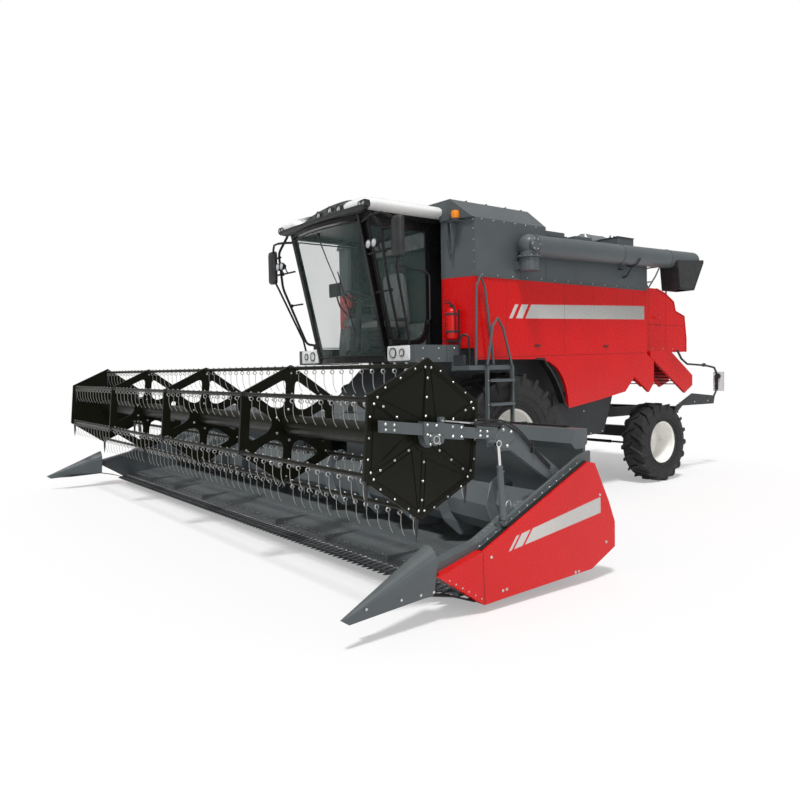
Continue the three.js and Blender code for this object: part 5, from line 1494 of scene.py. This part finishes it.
def makeRoof():
    cap, under, insert, rims, glow, lens = (Shape() for _ in range(6))
    s = roofSet
    wide = s["half"]
    levels = [(wide - 120, -1060, 150, 3592, 90, 0), (wide - 70, -1088, 176, 3600, 100, 6),
              (wide - 12, -1112, 186, 3622, 120, 10), (wide, -1122, 189, 3655, 130, 14),
              (wide - 6, -1126, 188, 3688, 130, 14), (wide - 40, -1108, 180, 3718, 140, 10),
              (wide - 110, -1060, 140, 3744, 160, 6), (wide - 220, -990, 30, 3768, 180, 0),
              (wide - 370, -890, -160, 3784, 180, 0), (wide - 560, -780, -330, 3792, 160, 0),
              (wide - 860, -680, -450, 3796, 90, 0)]
    cap.skin([roofRing(*level) for level in levels])
    # the raised middle behind the lamp arch, fading into the roof
    rings = []
    for back, grow, lift in ((14, 12, 2), (30, 20, 6), (120, 22, 4), (260, 10, -24), (400, -20, -52),
                             (520, -60, -80)):
        ring = [(x, archPlane(z) + back, z) for x, z in archOutline(grow, lift)]
        rings.append(ring)
    cap.skin(rings)
    cap.make("roofCap", "white", "root", "white", angle=50, standsFor=["roof"])
    under.skin([roofRing(800, -1040, 120, 3561, 80, 0), roofRing(850, -1060, 150, 3561, 90, 0),
                roofRing(wide - 100, -1078, 168, 3598, 100, 0)])
    front = [(900, -1100, 3562, 0), (wide - 60, -1128, 3590, 8), (wide - 40, -1134, 3626, 12),
             (wide - 40, -1128, 3640, 12)]
    rings = []
    for halfX, y, z, bow in front:
        face = [(halfX * t, y - bow * (1 - t * t) * 2, z) for t in np.linspace(-1, 1, 41)]
        rings.append(face + [(x, -1060, z) for x, _, _ in reversed(face)])
    under.skin(rings)
    under.make("roofUnderside", "plastic", "root", "black", angle=45)
    # black arched insert, leaning back, with three round lamps
    rings = []
    for back, grow in ((24, 0), (4, 0), (0, -6)):
        rings.append([(x, archPlane(z) + back, z) for x, z in archOutline(grow, grow)])
    insert.skin(rings)
    insert.make("roofInsert", "plastic", "root", "black", angle=45)
    for x, z in zip(s["lampX"], s["lampZ"]):
        y = archPlane(z)
        rims.ring((x, y, z), "y", 58, 47, (-22, 30), 32)
        glow.lathe([(0, 20), (20, 18), (38, 6), (47, -8)], (x, y, z), "y", 32)
        lens.lathe([(0, -18), (28, -17), (47, -13)], (x, y, z), "y", 32)
    # corner lamps in black housings
    corner = Shape()
    for hand in (-1, 1):
        corner.prism([(hand * x, z)
                      for x, z in softOutline(boxOutline((892, wide - 14), (3604, 3690)), 30, 5)],
                     (-1128, -1060), "y")
        for x in (930, 1004):
            rims.ring((hand * x, -1128, 3646), "y", 35, 29, (-8, 20), 28)
            glow.lathe([(0, 14), (12, 12), (24, 4), (29, -3)], (hand * x, -1128, 3646), "y", 28)
            lens.lathe([(0, -7), (18, -6), (29, -2)], (hand * x, -1128, 3646), "y", 28)
    corner.make("cornerHousings", "plastic", "root", "black", bevel=6)
    # lamps on the platform fronts and on the mirror stays
    for hand in (-1, 1):
        for x, wide in ((935, 54), (1110, 38)):
            rims.ring((hand * x, -692, 1944), "y", wide + 9, wide, (-10, 10), 32)
            glow.lathe([(0, 18), (wide * 0.4, 16), (wide * 0.8, 6), (wide, -4)], (hand * x, -694, 1944),
                       "y", 32)
            lens.lathe([(0, -8), (wide * 0.6, -7), (wide, -2)], (hand * x, -694, 1944), "y", 32)
        for x in (1040, 1150):
            glow.lathe([(0, 18), (20, 16), (38, 6), (46, -4)], (hand * x, -1090, 3180), "y", 28)
            lens.lathe([(0, -16), (28, -14), (46, -6)], (hand * x, -1090, 3180), "y", 28)
            rims.lathe([(0, 60), (26, 56), (48, 24), (54, -10), (47, -10)], (hand * x, -1090, 3180), "y",
                       28)
            rims.tube([(hand * x, -1040, 3180), (hand * x, -1020, 3120), (hand * x, -995, 3096)], 9, 10)
    rims.make("lampRims", "plastic", "root", "black")
    glow.make("lampReflectors", "reflector", "root", "steel")
    lens.make("lampLenses", "lens", "root", "glass")
    boxes = Shape()
    for hand in (-1, 1):
        rings = []
        for y, grow in ((-690, -8), (-686, 0), (-600, 0), (-560, -6)):
            outline = softOutline(boxOutline((812 - grow, 1250 + grow), (1850 - grow, 2027 + grow)), 26, 5)
            rings.append([(hand * x, y, z) for x, z in outline])
        boxes.skin(rings)
    boxes.make("lampBoxes", "white", "root", "white", bevel=2)


makeRoof()


beaconSet = {"lamp": (1290, 8, 3517), "extinguisher": (1235, -20)}


def makeBeacon():
    s = beaconSet
    base, light, bracket = Shape(), Shape(), Shape()
    bracket.prism([(-10, 3100), (60, 3420), (60, 3515), (-40, 3515), (-40, 3470)], (1240, 1250))
    bracket.box((1180, 1360), (-45, 62), (3508, 3517))
    bracket.prism([(-38, 3508), (-38, 3440), (10, 3130), (60, 3130), (60, 3508)], (1176, 1186))
    base.lathe([(0, 0), (52, 0), (54, 8), (50, 30), (0, 30)], s["lamp"], "z", 32)
    light.lathe([(48, 30), (52, 44), (52, 96), (44, 118), (22, 128), (0, 130)], s["lamp"], "z", 32)
    bracket.make("beaconBracket", "grey", "root", "grey", bevel=2)
    base.make("beaconBase", "plastic", "root", "black")
    light.make("beaconLens", "amber", "root", "glass")
    # fire extinguisher in its cradle
    x, y = s["extinguisher"]
    body, fittings, cradle = Shape(), Shape(), Shape()
    body.lathe([(0, 2088), (60, 2090), (74, 2102), (78, 2120), (78, 2420), (70, 2452), (44, 2476),
                (24, 2484), (24, 2500), (0, 2500)], (x, y, 0), "z", 36)
    body.make("extinguisher", "red", "root", "red", angle=45)
    fittings.lathe([(26, 2484), (28, 2490), (28, 2516), (0, 2520)], (x, y, 0), "z", 20)
    fittings.tube([(x, y, 2512), (x - 20, y - 30, 2540), (x - 70, y - 50, 2534)], 8, 10)
    fittings.tube([(x, y, 2516), (x - 20, y - 30, 2566), (x - 80, y - 52, 2572)], 6, 10)
    fittings.tube(rounded([(x, y, 2500), (x + 70, y - 20, 2500), (x + 92, y - 20, 2380),
                           (x + 84, y - 20, 2190)], 40, 6), 9, 12)
    fittings.make("extinguisherValve", "rubber", "root", "black")
    for z in (2180, 2390):
        cradle.ring((x, y, z), "z", 82, 78, (0, 26), 36)
    cradle.box((x - 60, x + 60), (y + 70, y + 82), (2070, 2460))
    cradle.box((x - 70, x + 70), (y - 70, y + 82), (2070, 2086))
    cradle.make("extinguisherCradle", "darkGrey", "root", "dark", bevel=2)


makeBeacon()


platformSet = {"deck": 2029, "landing": 1780, "rungs": range(440, 1600, 285)}


def makePlatforms():
    deck, landing = platformSet["deck"], platformSet["landing"]
    grip, bolts, mats, tubes = Shape(), Shape(), Shape(), Shape()
    for hand in (-1, 1):
        for x in np.arange(870, 1320, 60):
            for y in np.arange(-540, 0, 60):
                grip.box(span(hand, x - 20, x), (y, y + 8), (deck, deck + 3))
                grip.box(span(hand, x + 8, x + 28), (y + 30, y + 38), (deck, deck + 3))
        for y in (-560, -320, -80):
            bolts.bolt((hand * 1338, y, 1990), (hand, 0, 0), 16, 8)
            bolts.bolt((hand * 1338, y, 1870), (hand, 0, 0), 16, 8)
        tubes.box(span(hand, 1336, 1342), (-200, -196), (1830, 2028))
    for x in np.arange(1365, 1600, 55):
        for y in np.arange(-80, 600, 55):
            grip.box((x - 14, x + 14), (y, y + 7), (landing, landing + 3))
    for z in platformSet["rungs"]:
        for k in range(7):
            mats.box((1612, 1684), (215 + 55 * k, 241 + 55 * k), (z + 34, z + 39))
        for y in (178, 602):
            bolts.bolt((1650, y, z + 17), "x", 14, 8)
    tubes.tube(rounded([(1565, 335, 1783), (1565, 335, 1800)], 4), 22, 16)
    tubes.ring((1565, 62, 1780), "z", 26, 16, (0, 8), 20)
    tubes.ring((1632, 182, 1780), "z", 26, 16, (0, 8), 20)
    tubes.ring((1565, 348, 1780), "z", 26, 16, (0, 8), 20)
    tubes.box((1345, 1520), (-98, -60), (1783, 1905))
    # hose beside the ladder
    hose = Shape().tube(rounded([(1400, -40, 1790), (1402, -50, 2090), (1440, -20, 2160), (1500, 10, 2120),
                                 (1500, 20, 1790)], 60, 7), 13, 12)
    hose.make("ladderHose", "rubber", "root", "rubber")
    grip.make("deckGrip", "grey", "root", "grey")
    mats.make("treadGrip", "darkGrey", "root", "dark", bevel=1.5)
    tubes.make("railFeet", "darkGrey", "root", "grey", bevel=1.5)
    bolts.make("platformBolts", "zinc", "root", "steel")


makePlatforms()


mirrorSet = {"x": (1385, 1560), "z": (2985, 3440)}


def makeMirrors():
    (near, far), (low, high) = mirrorSet["x"], mirrorSet["z"]
    backs, faces, arms = Shape(), Shape(), Shape()
    for hand in (-1, 1):
        rings = []
        for y, grow in ((-1040, -34), (-1030, -10), (-1012, 0), (-980, 3), (-974, 0)):
            outline = softOutline(boxOutline((near - grow, far + grow), (low - grow, high + grow)), 46, 6)
            rings.append([(hand * min(x, 1568), y, z) for x, z in outline])
        backs.skin(rings)
        outline = softOutline(boxOutline((near + 13, far - 12), (low + 15, high - 15)), 40, 6)
        faces.prism([(hand * x, z) for x, z in outline], (-975, -971), "y")
        outer = [(950, -1040, 3575), (1215, -1040, 3380), (1215, -985, 2900), (1080, -700, 2120),
                 (900, -668, 2100)]
        arms.tube(rounded([(hand * x, y, z) for x, y, z in outer], 70, 6), 17, 16)
        arms.tube([(hand * 880, -1010, 3560), (hand * 868, -650, 2050)], 15, 16)
        for x1, x2, y, z in ((876, 1215, -985, 3096), (872, 1165, -880, 2660)):
            arms.tube([(hand * x1, y + 6, z), (hand * x2, y, z)], 12, 12)
            arms.disc((hand * x2, y - 20, z), "y", 22, (0, 40), 18, 4)
        arms.tube(rounded([(hand * 1215, -1010, 3330), (hand * 1360, -1010, 3330),
                           (hand * 1470, -985, 3330)], 40, 5), 14, 14)
        arms.tube(rounded([(hand * 1215, -1000, 3096), (hand * 1360, -1000, 3096),
                           (hand * 1470, -985, 3096)], 40, 5), 14, 14)
        arms.box(span(hand, 850, 920), (-690, -630), (2040, 2110))
        for z in (3080, 3350):
            arms.ring((hand * 1470, -985, z), "z", 26, 12, (-16, 16), 18)
    backs.make("mirrorShells", "plastic", "root", "black", angle=50)
    faces.make("mirrorFaces", "chrome", "root", "steel")
    arms.make("mirrorStays", "black", "root", "black")


makeMirrors()


def crowned(x, y, z, crown, bend, pull):
    # a stuffed pad: a closed rounded form, fuller in the middle, with its sides drawn in
    rings = []
    for share, grow in ((0.0, -0.16), (0.06, -0.05), (0.2, 0.0), (0.5, pull), (0.8, 0.0), (0.94, -0.05),
                        (1.0, -0.16)):
        wide = (x[1] - x[0]) * (1 + grow) / 2
        deep = (y[1] - y[0]) * (1 + grow) / 2
        cx, cy = (x[0] + x[1]) / 2, (y[0] + y[1]) / 2
        ring = softOutline([(cx - wide, cy - deep), (cx + wide, cy - deep), (cx + wide, cy + deep),
                            (cx - wide, cy + deep)], bend, 6)
        level = z[0] + (z[1] - z[0]) * share
        rings.append([(a, b, level) for a, b in ring])
    for end, level, way in ((0, z[0], -0.2), (-1, z[1], 1)):
        ring = rings[end]
        cx, cy = (x[0] + x[1]) / 2, (y[0] + y[1]) / 2
        extra = []
        for shrink, rise in ((0.78, 0.55), (0.5, 0.85), (0.2, 1.0)):
            extra.append([(cx + (a - cx) * shrink, cy + (b - cy) * shrink, level + way * crown * rise)
                          for a, b, _ in ring])
        rings = extra[::-1] + rings if end == 0 else rings + extra
    return rings


seatSet = {
    "base": (-240, 240), "deep": (-385, 60), "low": 2300, "high": 2375, "crown": 26, "lean": -84,
    "wheel": (0, -520, 2680), "wheelTilt": -0.42, "wheelR": 195,
}


def makeSeat():
    s = seatSet
    cushion = Shape().skin(crowned(s["base"], s["deep"], (s["low"], s["high"]), s["crown"], 90, 0.02))
    cushion.make("seatCushion", "cloth", "root", "seat", angle=60, smoother=1,
                             standsFor=["seat"])
    lean = Matrix.Rotation(math.radians(s["lean"]), 4, "X")
    back = Shape().copy(Shape().skin(crowned((-225, 225), (-350, 350), (-42, 42), 20, 110, 0.02)),
                        (0, 75, 2680), lean)
    back.make("seatBack", "cloth", "root", "seat", angle=60, smoother=1)
    head = Shape().copy(Shape().skin(crowned((-130, 130), (-75, 75), (-34, 34), 12, 50, 0.02)),
                        (0, 108, 3105), lean)
    head.make("headRest", "trimCloth", "root", "seat", angle=60, smoother=1)
    arm = Shape().skin(crowned((-395, -300), (-480, -10), (2440, 2500), 10, 34, 0.02))
    arm.make("armRestPad", "trimCloth", "root", "seat", angle=60, smoother=1)
    seams = Shape()
    for x in (-140, 140):
        seams.tube([(x, y, s["high"] + 5 + 20 * math.sin(math.pi * t))
                    for t, y in ((t, s["deep"][0] + 30 + t * 380) for t in np.linspace(0, 1, 14))], 3, 6)
    for x in (-130, 130):
        seams.tube([(x, 75 - 47 - 14 * math.sin(math.pi * t) + (z - 2680) * 0.105, z)
                    for t, z in ((t, 2380 + t * 600) for t in np.linspace(0, 1, 14))], 3, 6)
    seams.make("seatPiping", "trimCloth", "root", "seat")
    frameWork = Shape()
    frameWork.box((-190, 190), (-300, 40), (1911, 1950))
    for k in range(7):
        z = 1955 + k * 44
        outline = softOutline(boxOutline((-170 - 8 * (k % 2), 170 + 8 * (k % 2)),
                                         (-280 - 8 * (k % 2), 30 + 8 * (k % 2))), 40, 5)
        outline2 = softOutline(boxOutline((-162, 162), (-272, 22)), 40, 5)
        frameWork.skin([[(x, y, z) for x, y in outline], [(x, y, z + 40) for x, y in outline2]])
    frameWork.box((-240, 240), (-330, 60), (2262, 2298))
    frameWork.tube([(-60, 110, 3000), (-60, 112, 3080)], 7, 10)
    frameWork.tube([(60, 110, 3000), (60, 112, 3080)], 7, 10)
    frameWork.make("seatBase", "plastic", "root", "black", bevel=3)
    # side console with its levers, screen and buttons
    console = Shape()
    console.prism(softOutline([(-470, 2330), (40, 2330), (40, 2410), (-120, 2436), (-470, 2446)], 30, 4),
                  (-470, -290))
    console.prism(softOutline([(-430, 1912), (20, 1912), (20, 2330), (-380, 2330)], 40, 4), (-700, -440))
    console.make("sideConsole", "interior", "root", "black", bevel=6)
    levers = Shape()
    levers.tube([(-380, -400, 2440), (-382, -410, 2530)], 12, 14)
    levers.lathe([(0, -30), (24, -26), (30, 0), (28, 26), (0, 40)], (-382, -412, 2560), "z", 20)
    for k in range(5):
        levers.box((-440 + 26 * k, -424 + 26 * k), (-300, -284), (2436, 2452))
    levers.tube(rounded([(-440, -360, 2440), (-480, -520, 2600), (-500, -560, 2760)], 60, 5), 12, 12)
    levers.box((-640, -380), (-590, -566), (2740, 2920))
    levers.make("levers", "plastic", "root", "black", bevel=2)
    # steering wheel over its column
    wheel = Shape()
    turn = Matrix.Rotation(s["wheelTilt"], 4, "X")
    middle = Vector(s["wheel"])
    ring = []
    for k in range(48):
        a = math.tau * k / 48
        ring.append(turn @ Vector((s["wheelR"] * math.cos(a), s["wheelR"] * math.sin(a), 0)) + middle)
    wheel.tube(ring, 15, 12, shut=True)
    hub = Shape().lathe([(0, -26), (54, -22), (62, 0), (50, 12), (0, 16)], (0, 0, 0), "z", 28)
    wheel.copy(hub, (0, -520, 2672), turn)
    for angle in (20, 160, 270):
        a = math.radians(angle)
        end = turn @ Vector((190 * math.cos(a), 190 * math.sin(a), 0)) + middle
        wheel.tube([Vector((0, -520, 2670)), end], [16, 10], 8)
    wheel.tube([(0, -600, 1912), (0, -545, 2400), (0, -524, 2660)], [60, 42, 30], 20)
    wheel.make("steeringWheel", "plastic", "root", "black", standsFor=["steering_column"])
    pedals = Shape()
    for x in (-200, -110, 120):
        pedals.prism([(-640, 1950), (-600, 2010), (-592, 2005), (-630, 1944)], (x, x + 60))
        pedals.tube([(x + 30, -640, 1912), (x + 30, -622, 1975)], 8, 8)
    pedals.make("pedals", "plastic", "root", "black")
    floorMat = Shape().box((-735, 735), (-600, 110), (1911, 1917))
    for x in np.arange(-700, 701, 70):
        floorMat.box((x - 8, x + 8), (-590, 100), (1917, 1920))
    floorMat.make("floorMat", "rubber", "root", "black")
    lining = Shape()
    lining.box((-742, 742), (112, 124), (1915, 2345))
    lining.box((-742, 742), (112, 124), (3310, 3510))
    for x in np.arange(-560, 561, 280):
        lining.box((x - 100, x + 100), (106, 113), (2010, 2280))
    lining.make("cabLining", "interior", "root", "black", bevel=4)


makeSeat()
print("cab ready")


augerSet = {"x": 1650, "elbow": (900, 3250), "end": (4490, 3322), "radius": 133}


def makeTubes():
    # unloading auger: smooth tube, flanges, elbow cap and spout lips
    x = augerSet["x"]
    (y0, z0), (y1, z1) = augerSet["elbow"], augerSet["end"]
    way = Vector((0, y1 - y0, z1 - z0)).normalized()
    tube, bolts = Shape(), Shape()
    tube.tube([(x, y0, z0), (x, y1, z1)], augerSet["radius"], 56)
    tube.lathe([(0, -6), (60, -5), (110, 2), (131, 14)], (x, y1, z1), (0, 0.9998, 0.02), 56)
    tube.tube([(x, y0, 3095.3), (x, y0, z0)], 118, 48)
    profile = [(0, 140)] + [(140 * math.sin(math.pi * k / 20), 140 * math.cos(math.pi * k / 20))
                            for k in range(1, 21)]
    tube.lathe(profile, (x, y0, z0), (0, -1, 0), 48)
    for at, wide, deep in ((30, 147, 14), (50, 147, 14), (1780, 139, 6), (2900, 139, 6)):
        tube.ring(Vector((x, y0, z0)) + way * at, tuple(way), wide, 131, (0, deep), 56)
    tube.ring((x, y0, 3100), "z", 148, 116, (0, 16), 48)
    for k in range(12):
        turn = math.tau * k / 12
        at = Vector((x + 141 * math.cos(turn), y0, z0 + 141 * math.sin(turn))) + way * 64
        bolts.bolt(at, tuple(way), 13, 7)
    for k in range(10):
        turn = math.tau * k / 10
        bolts.bolt((x + 136 * math.cos(turn), y0 + 136 * math.sin(turn), 3116), "z", 13, 7)
    # gearbox cover, ribs and lamp on the elbow
    tube.disc((x + 100, y0 - 30, z0), "x", 84, (0, 46), 36, 8)
    for k in range(6):
        turn = math.tau * k / 6
        bolts.bolt((x + 146, y0 - 30 + 66 * math.cos(turn), z0 + 66 * math.sin(turn)), "x", 13, 7)
    tube.make("augerSkin", "grey", "unloading_auger", "grey", standsFor=["auger_tube"])
    bolts.make("augerBolts", "zinc", "unloading_auger", "steel")
    lips = Shape()
    for hand in (-1, 1):
        face = sorted((x + hand * 148, x + hand * 151))
        lips.prism([(3905, 3180), (3925, 3180), (3968, 2866), (3950, 2862)], face)
        lips.prism([(4588, 3290), (4570, 3290), (4318, 2870), (4330, 2862)], face)
        lips.prism([(3952, 2862), (4328, 2862), (4336, 2886), (3948, 2886)], face)
    lips.make("spoutLips", "rubber", "unloading_auger", "rubber")
    rest = Shape()
    rest.prism([(1500, 3100), (1560, 3100), (1560, 3112), (1500, 3112)], (2880, 2940), "y")
    rest.tube(rounded([(1490, 3000, 3000), (1560, 3000, 3010), (1650, 3000, 3130)], 50, 5), 14, 12)
    arcs = [(x + 146 * math.cos(math.radians(a)), z0 + 42 + 146 * math.sin(math.radians(a)))
            for a in range(200, 341, 14)]
    rest.tube([(a, 3000, b - 4) for a, b in arcs], 10, 10)
    rest.make("augerRest", "darkGrey", "root", "dark")
    # pipes along the frame
    pipes, clamps = Shape(), Shape()
    for k in range(3):
        pipes.tube(rounded([(812, 420, 1120 + 26 * k), (812, 1500, 1120 + 26 * k),
                            (812, 3500, 1120 + 26 * k), (790, 3700, 1060 + 20 * k)], 80, 5), 8, 10)
    for y in (600, 1100, 1600, 2100, 2600, 3100):
        clamps.box((800, 824), (y - 12, y + 12), (1106, 1186))
    pipes.both().make("framePipes", "darkGrey", "root", "steel")
    clamps.both().make("pipeClamps", "plastic", "root", "black")
    screws = Shape()
    for y, z in ((1740, 700), (2000, 712), (2280, 725), (2500, 800), (2760, 812), (2900, 1010),
                 (2970, 1270), (1740, 1000), (2350, 1120)):
        screws.bolt((1310, y, z), "x", 16, 8)
    for x2 in (-500, -250, 0, 250, 500):
        screws.bolt((x2, 4790, 1050), "y", 18, 9)
    screws.both().make("frameScrews", "zinc", "root", "steel")


makeTubes()


axleSet = {"hub": (960, 720, 845), "kingpin": (1080, 3875), "tieRod": (4125, 504)}


def makeAxleParts():
    x, y, z = axleSet["hub"]
    # final drives, their hoses, the kingpins' rings and the tie rod's sleeve
    cases, bolts, hoses = Shape(), Shape(), Shape()
    cases.lathe([(0, 0), (150, 0), (160, 10), (160, 40), (150, 50)], (x, y, z), "x", 40)
    cases.lathe([(100, 0), (152, 0), (152, 80), (132, 96), (100, 98), (100, 0)], (x, y, z), "x", 40)
    for at in around(x + 50, y, z, 140, 12):
        bolts.bolt(at, "x", 16, 8)
    for y in (580, 860):
        for z in (660, 800, 940, 1050):
            bolts.bolt((x, y, z), "x", 20, 10)
    hoses.tube(rounded([(900, 552, 900), (900, 500, 980), (860, 420, 1150), (840, 420, 1260)], 70, 6), 13,
               12)
    hoses.tube(rounded([(880, 552, 820), (880, 470, 900), (850, 380, 1100), (840, 380, 1260)], 70, 6), 13,
               12)
    cases.both().make("finalDrives", "darkGrey", "root", "dark")
    bolts.both().make("axleBolts", "zinc", "root", "steel")
    hoses.both().make("axleHoses", "rubber", "root", "rubber")
    x, y = axleSet["kingpin"]
    for side, low, hand in sideNames:
        boots = Shape()
        for z in (560, 700):
            boots.ring((hand * x, y, z), "z", 60, 55, (0, 10), 32)
        boots.disc((hand * x, y, 828), "z", 34, (0, 12), 24, 4)
        boots.make("kingpinRings" + side, "darkGrey", "knuckle_" + low, "dark")
    steer = Shape()
    y, z = axleSet["tieRod"]
    steer.tube([(-420, y, z), (420, y, z)], 24, 28)
    for x in (-420, 420, -1000, 1000):
        steer.ring((x, y, z), "x", 26, 15, (-12, 12), 24)
    steer.make("tieRodSleeve", "darkGrey", "tie_rod", "dark")


makeAxleParts()
print("auger and axles ready")
